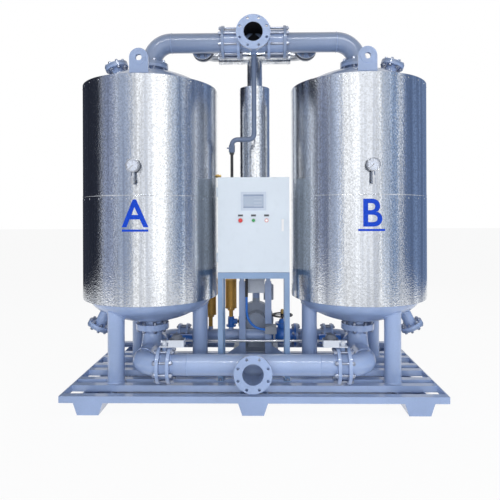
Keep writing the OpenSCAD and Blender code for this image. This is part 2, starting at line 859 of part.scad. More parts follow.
heater_flange_t = 26;
heater_nozzle_y = heater_r + 40;
module heater_vessel() {
    color(paint) placed() translate([0, heater_y, 0]) difference() {
        union() {
            translate([0, 0, heater_z]) cylinder(r = heater_pipe_r, h = heater_h - 40);
            translate([0, 0, heater_z])
                flange(heater_flange_d, heater_flange_d - 44, small_hole, heater_flange_t, 12);
            translate([0, 0, heater_top - 42]) cylinder(r = hot_r, h = 42);
            translate([0, 0, heater_inlet_z]) along_y(blower_nozzle_r, 0, heater_nozzle_y);
        }
        translate([0, 0, heater_z - 1]) cylinder(r = heater_pipe_r - 6, h = heater_h - 40 - 7);
        translate([0, 0, heater_top - 60]) cylinder(r = hot_bore_r, h = 62);
        translate([0, 0, heater_inlet_z]) along_y(blower_nozzle_r - 4, 0, heater_nozzle_y + 1);
    }
}

rod_circle = heater_pipe_r - 50;
module heater_elements() {
    color("gray") placed() translate([0, heater_y, 0]) {
        translate([0, 0, heater_z - element_t])
            flange(heater_flange_d, heater_flange_d - 44, small_hole, element_t, 12);
        for (turn = [0:60:300]) rotate([0, 0, turn]) translate([rod_circle, 0, heater_z])
            cylinder(r = 8, h = heater_h - 300);
    }
}

frame_top = heater_z - element_t;
foot_t = 8;
rail_back = row_y + pair_offset;
frame_t = 12;
box_h = 150;
box_half = post_x - post_w / 2 - 4;
module heater_terminal_box() {
    color("darkgray") placed() translate([0, heater_y, 0]) {
        lid_z = frame_top - frame_t - 4;
        translate([0, 0, lid_z]) cylinder(r = box_half - 4, h = frame_t + 4);
        box(-box_half, box_half, -box_half - 8, box_half + 8, lid_z - box_h, lid_z);
        box(-box_half - 4, box_half + 4, -box_half - 12, box_half + 12, lid_z - 30, lid_z - 22);
    }
}

// Two posts on foot plates carry a pair of arms and the ring plate under the heater
plate_half = heater_flange_d / 2;
arm_h = 50;
gusset_l = 123;
gusset_h = 100;
module heater_posts() {
    color(paint) placed() translate([0, heater_y, 0]) {
        half = post_w / 2;
        arm_z = frame_top - frame_t - arm_h;
        for (x = [-post_x, post_x]) {
            translate([x, -post_y, 0]) difference() {
                box(-half, half, -half, half, skid_top + foot_t, arm_z);
                box(-half + 4, half - 4, -half + 4, half - 4, skid_top, arm_z - 4);
            }
            box(x - half - 10, x + half + 10, -post_y - half - 10, rail_back - heater_y - 20,
                skid_top, skid_top + foot_t);
            mirror([x < 0 ? 1 : 0, 0, 0]) translate([post_x + half, -post_y + foot_t / 2, skid_top]) {
                box(0, gusset_l + 10, -half - 10 - foot_t / 2, half, 0, foot_t);
                rotate([90, 0, 0]) linear_extrude(foot_t)
                    polygon([[0, foot_t], [gusset_l, foot_t], [gusset_l, foot_t + 14], [0, gusset_h]]);
            }
            box(x - 20, x + 20, -plate_half, plate_half, arm_z, frame_top - frame_t);
        }
        difference() {
            box(-post_x - half, post_x + half, -plate_half, plate_half, frame_top - frame_t, frame_top);
            translate([0, 0, frame_top - frame_t - 1]) cylinder(r = 100, h = frame_t + 2);
        }
    }
}

exhaust_inner = exhaust_valve_x - exhaust_valve_l / 2;
exhaust_outer = exhaust_valve_x + exhaust_valve_l / 2;
module exhaust_branch_path(r, extra) {
    translate([-tower_x, 0, 0]) along_y(r, heel_y - extra, exhaust_y - exhaust_bend);
    translate([-tower_x + exhaust_bend, exhaust_y - exhaust_bend, 0]) bend(exhaust_bend, r, 90);
    translate([0, exhaust_y, 0]) along_x(r, -tower_x + exhaust_bend, -exhaust_outer + extra);
}

// Run of exhaust pipe with a flange at each end
module exhaust_run(x1, x2) {
    difference() {
        union() {
            along_x(exhaust_r, x1, x2);
            exhaust_flange_x(x1);
            exhaust_flange_x(x2 - small_flange_t);
            children();
        }
        along_x(exhaust_bore_r, x1 - 1, x2 + 1);
    }
}

vent_riser_r = 24;
vent_base = exhaust_r + 26;
module riser(x) {
    translate([x, 0, 0]) cylinder(r = vent_riser_r, h = vent_base);
}

module exhaust_pipes() {
    color(paint) {
        both() translate([0, 0, inlet_z]) difference() {
            union() {
                exhaust_branch_path(exhaust_r, 0);
                translate([-tower_x, heel_y, 0]) rotate([-90, 0, 0])
                    flange(exhaust_flange_d, exhaust_pcd, small_hole, small_flange_t);
                translate([0, exhaust_y, 0]) exhaust_flange_x(-exhaust_outer - small_flange_t);
            }
            exhaust_branch_path(exhaust_bore_r, 1);
        }
        placed() translate([0, exhaust_y, inlet_z]) {
            exhaust_run(-exhaust_inner, throttle_x - throttle_half) {
                riser(vent_x);
                riser(muffler_x);
            }
            exhaust_run(throttle_x + throttle_half, exhaust_inner);
        }
    }
}

wheel_z = exhaust_r + 120;
spindle_r = 9;
module throttle_valve() {
    color("royalblue") placed() translate([throttle_x, exhaust_y, inlet_z]) difference() {
        union() {
            exhaust_flange_x(-throttle_half);
            exhaust_flange_x(throttle_half - small_flange_t);
            along_x(exhaust_r + 4, -throttle_half, throttle_half);
            sphere(r = 88);
            cylinder(r = 46, h = 108);
            translate([0, 0, 100]) cylinder(r = 68, h = 20);
            translate([0, 0, 120]) cylinder(r1 = 40, r2 = 24, h = wheel_z - 140);
        }
        translate([0, 0, 90]) cylinder(r = spindle_r + fit, h = wheel_z);
        along_x(exhaust_bore_r, -throttle_half - 1, -throttle_half + 40);
        along_x(exhaust_bore_r, throttle_half - 40, throttle_half + 1);
    }
}

// Handwheel with four spokes on its spindle, turning about local z
module handwheel(r, rim, top, depth) {
    translate([0, 0, top]) {
        rotate_extrude() translate([r - rim, 0]) circle(rim);
        translate([0, 0, -14]) cylinder(r = 17, h = 28);
        for (turn = [0, 90]) rotate([0, 0, turn]) along_x(rim * 0.7, -r + rim, r - rim);
    }
    translate([0, 0, top - depth]) cylinder(r = spindle_r, h = depth);
}

module throttle_wheel() {
    color("black") placed() translate([throttle_x, exhaust_y, inlet_z])
        handwheel(104, 8, wheel_z + 16, wheel_z - 78);
}

vent_z = inlet_z + vent_base;
vent_h = 96;
module vent_valve() {
    color("royalblue") placed() translate([vent_x, exhaust_y, vent_z]) difference() {
        union() {
            cylinder(r = 48, h = 16);
            cylinder(r = 32, h = vent_h - 16);
            translate([0, 0, vent_h - 16]) cylinder(r = 30, h = 16, $fn = 6);
            translate([0, 0, vent_h / 2]) along_x(26, 0, 62);
        }
        translate([0, 0, vent_h / 2]) along_x(spindle_r + fit, 30, 70);
    }
}

module vent_wheel() {
    color("black") placed() translate([vent_x, exhaust_y, vent_z + vent_h / 2]) rotate([0, 90, 0])
        handwheel(52, 6, 80, 48);
}

muffler_hex = 34;
module muffler(base, neck_h) {
    translate([0, 0, base]) cylinder(r = 20, h = neck_h);
    translate([0, 0, base + neck_h]) cylinder(r = muffler_hex, h = 22, $fn = 6);
    translate([0, 0, base + neck_h + 22]) cylinder(d = muffler_d, h = muffler_l);
    translate([0, 0, base + neck_h + 22 + muffler_l]) cylinder(d1 = muffler_d, d2 = muffler_d - 16, h = 8);
}

module mufflers() {
    color("sienna") placed() {
        translate([vent_x, exhaust_y, 0]) muffler(vent_z + vent_h, 60);
        translate([muffler_x, exhaust_y, 0]) muffler(vent_z, 92);
    }
}

housing_y = skid_back - 110;
motor_y = exhaust_y + exhaust_r + 33;
module blower() {
    color("darkgray") placed() {
        box(-220, 220, rail_back - 10, skid_back - 5, skid_top, skid_top + blower_base_t);
        translate([0, 0, shaft_z]) {
            along_y(motor_d / 2, motor_y, housing_y);
            along_y(motor_d / 2 - 12, motor_y - 10, motor_y);
            along_y(blower_d / 2, housing_y, skid_back - 5);
            for (turn = [30:40:330]) rotate([0, turn, 0])
                box(motor_d / 2 - 6, motor_d / 2 + 9, motor_y + 20, housing_y - 40, -4, 4);
        }
        box(-80, 80, motor_y + 20, motor_y + 100, skid_top + blower_base_t, shaft_z - 60);
        box(-130, 130, housing_y + 10, skid_back - 15, skid_top + blower_base_t, shaft_z - 60);
        translate([0, riser_y, shaft_z]) cylinder(r = blower_nozzle_r, h = blower_d / 2 + 40);
        translate([130, riser_y, shaft_z]) {
            cylinder(r = blower_nozzle_r - 8, h = 200);
            translate([0, 0, 200]) cylinder(r = 52, h = 150);
            translate([0, 0, 350]) cylinder(r1 = 52, r2 = 36, h = 14);
        }
    }
}

blower_bend = 80;
module blower_pipe_path(r, extra) {
    low = shaft_z + blower_d / 2 + 40;
    translate([0, riser_y, low - extra]) cylinder(r = r, h = heater_inlet_z - blower_bend - low + extra);
    translate([0, riser_y - blower_bend, heater_inlet_z - blower_bend]) upright_yz() bend(blower_bend, r, 0);
    translate([0, 0, heater_inlet_z])
        along_y(r, heater_y + heater_nozzle_y - extra, riser_y - blower_bend);
}

module blower_pipe() {
    color(paint) placed() difference() {
        blower_pipe_path(blower_nozzle_r, 0);
        blower_pipe_path(blower_nozzle_r - 4, 1);
    }
}

hinge_r = 6;
hinge_part = 24;
hinge_x = -cabinet_w / 2 - hinge_r - 1;
hinge_y = -door_y + door_t;
hinge_zs = [cabinet_z + 120, cabinet_z + cabinet_h - 120];
module knuckle(z) {
    translate([hinge_x, hinge_y, z - hinge_part / 2]) cylinder(r = hinge_r, h = hinge_part);
}

module cabinet_box() {
    color("whitesmoke") placed() {
        half = cabinet_w / 2;
        for (z = hinge_zs, side = [-1, 1]) {
            knuckle(z + side * (hinge_part + 1));
            translate([0, 0, z + side * (hinge_part + 1)])
                box(-half - 3, -half, hinge_y, hinge_y + 40, -hinge_part / 2, hinge_part / 2);
        }
        top = cabinet_z + cabinet_h;
        difference() {
            box(-half, half, box_front, box_back, cabinet_z, top);
            box(-half + 2, half - 2, box_front - 1, box_back - 2, cabinet_z + 2, top - 2);
        }
        for (x = [-half + 60, half - 60], z = [cabinet_z + 60, top - 60])
            translate([x, 0, z]) along_y(8, box_back - 20, box_back - 1);
    }
}

// Folded tray with cut-outs for the touch panel and the buttons, and the handle's base plate
module cabinet_door() {
    color("whitesmoke") placed() difference() {
        half = door_w / 2;
        low = cabinet_z + 2;
        union() {
            difference() {
                box(-half, half, -door_y, -door_y + door_t, low, low + door_h);
                box(-half + 3, half - 3, -door_y + door_sheet, -door_y + door_t + 1, low + 3, low + door_h - 3);
            }
            box(handle_x - 15, handle_x + 15, -door_y - 5, -door_y, handle_z - 60, handle_z + 60);
            translate([handle_x, 0, handle_z + 36]) along_y(16, -door_y, -door_y + 16);
            for (z = hinge_zs) {
                knuckle(z);
                box(hinge_x, -half, hinge_y - hinge_r, hinge_y, z - hinge_part / 2, z + hinge_part / 2);
            }
        }
        box(-panel_w / 2 + 6, panel_w / 2 - 6, -door_y - 1, -door_y + 3,
            panel_z - panel_h / 2 + 6, panel_z + panel_h / 2 - 6);
        for (x = [-button_pitch, 0, button_pitch]) translate([x, 0, button_z])
            along_y(button_d / 2 + fit, -door_y - 1, -door_y + 3);
        translate([handle_x, 0, handle_z + 36]) along_y(7 + fit, -door_y - 6, -door_y + 17);
    }
}

module cabinet_stand() {
    color(paint) placed() {
        half = cabinet_w / 2;
        front = -door_y;
        back = box_back;
        base = skid_top + 8;
        for (x = [-half, half - stand_w], y = [front, back - stand_w]) {
            difference() {
                box(x, x + stand_w, y, y + stand_w, base, cabinet_z);
                box(x + 3, x + stand_w - 3, y + 3, y + stand_w - 3, base - 1, cabinet_z - 3);
            }
            reach = y == front ? [30, 50] : [20, 60];
            box(x - 10, x + stand_w + 10, y - reach[0], y + stand_w + reach[1], skid_top, base);
        }
        for (y = [front, back - stand_w])
            box(-half + stand_w, half - stand_w, y, y + stand_w, cabinet_z - 50, cabinet_z);
        for (x = [-half, half - stand_w])
            box(x, x + stand_w, front + stand_w, back - stand_w, cabinet_z - 50, cabinet_z);
    }
}

// Mounting plate with wiring ducts, rails of breakers, relays and the controller
module control_panel() {
    color("lightgray") placed() {
        back = box_back - 20;
        low = cabinet_z + 50;
        high = cabinet_z + cabinet_h - 50;
        half = cabinet_w / 2 - 50;
        row = (high - low) / 3;
        box(-half, half, back - 3, back, low, high);
        for (z = [low + 10, low + row, low + 2 * row, high - 50])
            box(-half + 10, half - 10, back - 45, back - 3, z, z + 40);
        for (i = [0:8]) translate([-half + 20 + i * 44, 0, 0])
            box(0, 36, back - 72, back - 3, low + row / 2 - 30, low + row / 2 + 55);
        for (i = [0:4]) translate([-half + 20 + i * 60, 0, 0])
            box(0, 45, back - 85, back - 3, low + row * 1.5 - 30, low + row * 1.5 + 60);
        box(-half + 20, half - 140, back - 90, back - 3, high - row / 2 - 70, high - row / 2 + 40);
    }
}

module touch_panel() {
    color("slategray") placed() difference() {
        union() {
            box(-panel_w / 2, panel_w / 2, -door_y - 6, -door_y, panel_z - panel_h / 2, panel_z + panel_h / 2);
            box(-panel_w / 2 + 7, panel_w / 2 - 7, -door_y, -door_y + 42,
                panel_z - panel_h / 2 + 7, panel_z + panel_h / 2 - 7);
        }
        box(-panel_w / 2 + 20, panel_w / 2 - 20, -door_y - 7, -door_y - 4,
            panel_z - panel_h / 2 + 20, panel_z + panel_h / 2 - 20);
    }
}

// Button cap with its stem through the door: the cap stands off the door by its travel
module button(x, cap_r, cap_h) {
    translate([x, 0, button_z]) {
        along_y(button_d / 2, -door_y - button_travel - 2, -door_y + 38);
        along_y(cap_r, -door_y - button_travel - 2 - cap_h, -door_y - button_travel - 2);
    }
}

module stop_button() { color("red") placed() button(-button_pitch, 17, 10); }
module start_button() { color("seagreen") placed() button(0, 13, 6); }

module alarm_lamp() {
    color("mistyrose") placed() translate([button_pitch, 0, button_z]) {
        along_y(button_d / 2, -door_y, -door_y + 38);
        along_y(15, -door_y - 8, -door_y);
        along_y(11, -door_y - 13, -door_y - 8);
    }
}

module door_handle() {
    color("whitesmoke") placed() translate([handle_x, 0, handle_z + 36]) {
        along_y(7, -door_y - 8, -door_y + 30);
        along_y(11, -door_y - 20, -door_y - 5 - fit);
        box(-9, 9, -door_y - 20, -door_y - 9, -88, 0);
        box(-9, 9, -door_y + 16 + fit, -door_y + 19, -8, 34);
    }
}

// Instrument pipe, stop valve, control hose and pilot tubes
elbow_r = 50;
valve_top = instrument_z - elbow_r;
hose_top = valve_top - 80;
s_top = cabinet_z + cabinet_h - 60;
s_low = s_top - cabinet_h * 0.73;
coupling_z = shaft_z + 330;
block_x = post_x - post_w / 2;
block_y = heater_y - post_y - post_w / 2;
hose_low_y = heater_y - heater_flange_d / 2 - hose_d / 2 - 5;
block_z = skid_top + 280;
last_bend = block_x - hose_low_x - 4;

// Tube of radius r along a list of points, drawn as rings square to the way
function way(p, i) =
    let (d = p[min(i + 1, len(p) - 1)] - p[max(i - 1, 0)]) d / norm(d);
function ring(c, d, r, sides) =
    let (u = cross(d, [0, 1, 0]) / norm(cross(d, [0, 1, 0])), v = cross(u, d))
    [for (k = [0:sides - 1]) c + r * (cos(360 * k / sides) * u + sin(360 * k / sides) * v)];
module tube(p, r, sides = 12) {
    n = len(p);
    polyhedron(
        points = [for (i = [0:n - 1]) each ring(p[i], way(p, i), r, sides)],
        faces = concat(
            [[for (k = [sides - 1:-1:0]) k]],
            [[for (k = [0:sides - 1]) (n - 1) * sides + k]],
            [for (i = [0:n - 2], k = [0:sides - 1]) let (m = (k + 1) % sides)
                [i * sides + k, i * sides + m, (i + 1) * sides + m, (i + 1) * sides + k]]
        )
    );
}

module instrument_pipe() {
    r = instrument_d / 2;
    translate([0, 0, instrument_z + elbow_r])
        cylinder(r = r, h = coupling_low + 18 - instrument_z - elbow_r);
    translate([-elbow_r, 0, instrument_z + elbow_r]) upright_xz() bend(elbow_r, r, -90);
    translate([0, 0, instrument_z]) along_x(r, hose_x + elbow_r, -elbow_r);
    translate([hose_x + elbow_r, 0, instrument_z - elbow_r]) upright_xz() bend(elbow_r, r, 90);
    translate([hose_x, 0, hose_top]) {
        translate([0, 0, 20]) cylinder(r = r + 6, h = 60, $fn = 8);
        cylinder(r = r, h = 20);
        translate([0, 0, 48]) along_y(7, -52, 0);
        translate([0, -52, 48]) along_x(6, -40, 12);
    }
}

s_steps = 14;
black_way = concat(
    [[hose_x, 0, hose_top - fit], [hose_x, 0, hose_top - 30]],
    [for (i = [0:s_steps]) let (f = i / s_steps, g = (1 - cos(180 * f)) / 2)
        [hose_x + (hose_low_x - hose_x) * g, hose_low_y * g, s_top + (s_low - s_top) * f]],
    [[hose_low_x, hose_low_y, coupling_z + 30], [hose_low_x, hose_low_y, coupling_z + fit]]
);
bend_steps = 8;
blue_way = concat(
    [[hose_low_x, hose_low_y, coupling_z], [hose_low_x, hose_low_y, coupling_z - 20]],
    [for (i = [0:bend_steps]) let (a = 180 + 90 * i / bend_steps)
        [block_x - 4 + last_bend * cos(a), hose_low_y, block_z + last_bend * (1 + sin(a))]],
    [[block_x - fit, hose_low_y, block_z]]
);

tube_r = 10;
tube_y = heel_y + 50;
tube_z = inlet_z + 10;
module pilot_block() {
    link_x = block_x + 84;
    box(block_x, block_x + 104, hose_low_y - 24, block_y, block_z - 36, block_z + 30);
    difference() {
        union() {
            translate([link_x, tube_y, tube_z]) cylinder(r = tube_r, h = block_z - 30 - tube_z);
            translate([0, tube_y, tube_z]) {
                along_x(tube_r, -tower_x, tower_x);
                along_x(tube_r + 5, link_x - 24, link_x + 24);
            }
        }
        for (x = [-tower_x, tower_x]) translate([x, 0, inlet_z]) along_y(exhaust_r + fit, heel_y, heater_y);
    }
}

module control_lines() {
    placed() {
        color("dimgray") instrument_pipe();
        color("black") tube(black_way, hose_d / 2);
        color("blue") tube(blue_way, hose_d / 2 - 2);
        color("silver") pilot_block();
    }
}

module rail(y) {
    difference() {
        box(-skid_l / 2 + 10, skid_l / 2 - 10, y - rail_w / 2, y + rail_w / 2, beam_z, skid_top);
        box(-skid_l / 2, skid_l / 2, y - rail_w / 2 + skid_wall, y + rail_w / 2 - skid_wall,
            beam_z + skid_wall, skid_top - skid_wall);
    }
}

// Channel beam along X, open towards local +y
module edge_beam() {
    difference() {
        box(-skid_l / 2, skid_l / 2, 0, beam_w, beam_z, skid_top);
        box(-skid_l / 2 - 1, skid_l / 2 + 1, skid_wall, beam_w + 1, beam_z + skid_wall, skid_top - skid_wall);
    }
}

module skid_frame() {
    color(paint) placed() {
        translate([0, -skid_front, 0]) edge_beam();
        translate([0, skid_back, 0]) mirror([0, 1, 0]) edge_beam();
        for (y = [-row_y, 0, row_y], shift = [-pair_offset, pair_offset]) rail(y + shift);
        for (x = [-skid_l / 2, skid_l / 2 - 10])
            box(x, x + 10, -skid_front, skid_back, beam_z, skid_top);
    }
}

// Folded trough of tapered section with closed ends
module skid_runners() {
    depth = skid_front + skid_back;
    color(paint) placed() for (x = [-runner_x, 0, runner_x])
        translate([x, skid_back, 0]) rotate([90, 0, 0]) {
            linear_extrude(depth) difference() {
                polygon([[-runner_base / 2, 0], [runner_base / 2, 0], [runner_top / 2, beam_z],
                    [-runner_top / 2, beam_z]]);
                polygon([[-runner_base / 2 + skid_wall, skid_wall], [runner_base / 2 - skid_wall, skid_wall],
                    [runner_top / 2 - skid_wall, beam_z + 1], [-runner_top / 2 + skid_wall, beam_z + 1]]);
            }
            for (z = [0, depth - skid_wall]) translate([0, 0, z]) linear_extrude(skid_wall)
                polygon([[-runner_base / 2, 0], [runner_base / 2, 0], [runner_top / 2, beam_z],
                    [-runner_top / 2, beam_z]]);
        }
}

skid_frame();
skid_runners();
tower_a_vessel();
tower_b_vessel();
tower_legs();
lower_jackets();
upper_jackets();
insulation();
desiccant_beds();
bed_screens();
port_covers();
gauge_cases();
gauge_lenses();
gauge_needle_a();
gauge_needle_b();
gauge_cocks();
cock_lever_a();
cock_lever_b();
outlet_pipe_a();
outlet_pipe_b();
outlet_tee();
check_valve_bodies();
check_flap_a();
check_flap_b();
check_valve_studs();
inlet_pipe_a();
inlet_pipe_b();
inlet_manifold();
butterfly_bodies();
inlet_disc_a();
inlet_disc_b();
inlet_actuators();
hot_header();
hot_lagging();
hot_check_valves();
heater_vessel();
heater_elements();
heater_terminal_box();
heater_posts();
exhaust_pipes();
exhaust_disc_a();
exhaust_disc_b();
exhaust_actuators();
throttle_valve();
throttle_wheel();
vent_valve();
vent_wheel();
mufflers();
blower();
blower_pipe();
cabinet_box();
cabinet_door();
cabinet_stand();
control_panel();
touch_panel();
stop_button();
start_button();
alarm_lamp();
door_handle();
control_lines();
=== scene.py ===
"""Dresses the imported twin-tower air dryer: finishes, bolts, welds, trim, lights and camera."""

import math

import bmesh
import bpy
from mathutils import Matrix, Vector


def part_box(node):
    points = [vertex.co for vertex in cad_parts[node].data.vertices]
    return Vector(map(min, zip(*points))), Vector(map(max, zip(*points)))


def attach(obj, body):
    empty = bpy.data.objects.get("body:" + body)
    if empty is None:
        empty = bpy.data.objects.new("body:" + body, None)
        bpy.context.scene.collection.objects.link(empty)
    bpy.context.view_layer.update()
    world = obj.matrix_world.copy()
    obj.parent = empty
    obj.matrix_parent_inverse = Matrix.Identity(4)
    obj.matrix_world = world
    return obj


bl_info = {
    "name": "Twin-tower air dryer",
    "version": (1, 0, 0),
    "blender": (4, 5, 0),
    "location": "3D View > Sidebar > Dryer",
    "description": "Dresses the packed air dryer with finishes, bolts, welds and trim, and sets its stage",
    "category": "Object",
}

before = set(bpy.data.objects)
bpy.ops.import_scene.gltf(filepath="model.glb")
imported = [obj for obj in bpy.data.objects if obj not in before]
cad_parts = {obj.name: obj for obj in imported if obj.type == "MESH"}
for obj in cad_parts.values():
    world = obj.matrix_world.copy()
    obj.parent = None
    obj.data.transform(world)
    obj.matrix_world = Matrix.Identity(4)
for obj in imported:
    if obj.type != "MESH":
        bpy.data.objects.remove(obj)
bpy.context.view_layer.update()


def middle(node):
    """Middle of a CAD node's box."""
    low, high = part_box(node)
    return (Vector(low) + Vector(high)) / 2


# Places and radii of the CAD model in metres, read from its boxes where they give them
JACKET_R = 0.575
TOWER_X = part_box("lower_jackets")[1][0] - JACKET_R
TOWERS = (-TOWER_X, TOWER_X)
PLANE_Y = middle("check_flap_a").y
INLET_Z = middle("inlet_manifold").z
FLANGE_R = 0.1425
INLET_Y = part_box("inlet_manifold")[1][1] - FLANGE_R
OUTLET_Z = middle("outlet_tee").z
TOP_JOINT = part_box("outlet_pipe_a")[0][2]
LOW_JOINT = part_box("inlet_pipe_a")[1][2]
EXHAUST_Y = middle("throttle_wheel").y
HEATER_Y = middle("heater_vessel").y
JACKET_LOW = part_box("lower_jackets")[0][2]
JACKET_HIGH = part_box("upper_jackets")[1][2]
JACKET_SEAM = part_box("lower_jackets")[1][2]
DOOR_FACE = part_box("cabinet_door")[0][1] + 0.005
SKID_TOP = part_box("skid_frame")[1][2]
CROWN_R = 0.856
CROWN_HIGH_Z = 1.87629
CROWN_LOW_Z = 1.40871
PIPE_R = 0.08415
NOZZLE_DROP = math.sqrt(CROWN_R**2 - PIPE_R**2)
LEG_CIRCLE_R = 0.42
LEG_R = 0.0665
INLET_VALVE_X = 0.696
EXHAUST_VALVE_X = 0.7
HOT_VALVE_X = 0.47
HOT_VALVE_Y = 0.16215
HEATER_JOINT_Z = 0.93
HEATER_LAGGING_R = 0.1432
PIPE_LAGGING_R = 0.0722
BUTTON_X = 0.105
MUFFLER_R = 0.0542

# A little over the pipes' bore, so that its wall counts as inside and takes the painted shade
BORE_R = 0.0797

# Gauge scale in degrees: where it starts, and how far it sweeps clockwise
SCALE_START = 225
SCALE_SWEEP = 270

# Bolt circles' diameters
MAIN_BOLTS = 0.24
EXHAUST_BOLTS = 0.18
PORT_BOLTS = 0.16
HEATER_BOLTS = 0.296

# A bolt's radius as a share of its nut's width across flats
THREAD = 0.32

# Filling and draining ports: tilt in degrees, height of the crown's centre,
# the joint's distance from the crown, and 1 for up or -1 for down
PORTS = ((19, CROWN_HIGH_Z, 0.1, 1), (27.5, CROWN_LOW_Z, 0.165, -1))

# Camera fitted to the photograph: image width, focal length and principal point in pixels,
# then its place from the tower plane in metres and its turns in radians
IMAGE_PX = 500
FOCAL_PX = 475.97
CENTRE_PX = (256.57, 212.61)
CAMERA_FROM_PLANE = (0.0823, -4.1849, 1.4928)
CAMERA_PAN = 0.0150
CAMERA_ROLL = -0.0031

UP = Vector((0, 0, 1))
ALONG_X = Vector((1, 0, 0))
ALONG_Y = Vector((0, 1, 0))


class DryerSizes(bpy.types.PropertyGroup):
    """Sizes of the pieces that are added to the CAD model."""

    main_nut: bpy.props.FloatProperty(
        name="Main nut", default=0.030, unit="LENGTH",
        description="Width across flats of the main flanges' nuts",
    )
    small_nut: bpy.props.FloatProperty(
        name="Small nut", default=0.024, unit="LENGTH",
        description="Width across flats of the smaller flanges' nuts",
    )
    anchor_nut: bpy.props.FloatProperty(
        name="Anchor nut", default=0.019, unit="LENGTH",
        description="Width across flats of the foot plates' bolts",
    )
    weld: bpy.props.FloatProperty(
        name="Weld bead", default=0.005, unit="LENGTH",
        description="Half width of a weld bead",
    )
    rivet: bpy.props.FloatProperty(
        name="Rivet", default=0.005, unit="LENGTH",
        description="Radius of a rivet's head on the jackets",
    )
    letter: bpy.props.FloatProperty(
        name="Tower letter", default=0.212, unit="LENGTH",
        description="Height of the letter on each tower",
    )


class DryerColours(bpy.types.PropertyGroup):
    """Colours of the finishes."""

    paint: bpy.props.FloatVectorProperty(
        name="Paint", default=(0.295, 0.395, 0.625), subtype="COLOR",
        description="Enamel of pipes, heads, legs, skid",
    )
    sheet: bpy.props.FloatVectorProperty(
        name="Sheet", default=(0.915, 0.945, 0.985), subtype="COLOR",
        description="Embossed sheet of the jackets",
    )
    cabinet: bpy.props.FloatVectorProperty(
        name="Cabinet", default=(0.61, 0.68, 0.76), subtype="COLOR",
        description="Powder coat of the control cabinet",
    )
    valve: bpy.props.FloatVectorProperty(
        name="Valve blue", default=(0.025, 0.14, 0.50), subtype="COLOR",
        description="Enamel of the exhaust valves",
    )
    bronze: bpy.props.FloatVectorProperty(
        name="Bronze", default=(0.80, 0.45, 0.11), subtype="COLOR",
        description="Sintered bronze of the mufflers",
    )
    mark: bpy.props.FloatVectorProperty(
        name="Tower mark", default=(0.01, 0.06, 0.52), subtype="COLOR",
        description="Blue of the tower letters",
    )


def sizes():
    return bpy.context.scene.dryer_sizes


def colours():
    return bpy.context.scene.dryer_colours


class Wire:
    """A shader socket that takes part in Python arithmetic by adding Math nodes."""

    def __init__(self, finish, socket):
        self.finish = finish
        self.socket = socket

    def maths(self, operation, first, second):
        return self.finish.node("ShaderNodeMath", {"operation": operation}, {0: first, 1: second})

    def __add__(self, other):
        return self.maths("ADD", self, other)

    __radd__ = __add__

    def __sub__(self, other):
        return self.maths("SUBTRACT", self, other)

    def __rsub__(self, other):
        return self.maths("SUBTRACT", other, self)

    def __mul__(self, other):
        return self.maths("MULTIPLY", self, other)

    __rmul__ = __mul__

    def __gt__(self, other):
        return self.maths("GREATER_THAN", self, other)

    def __lt__(self, other):
        return self.maths("LESS_THAN", self, other)


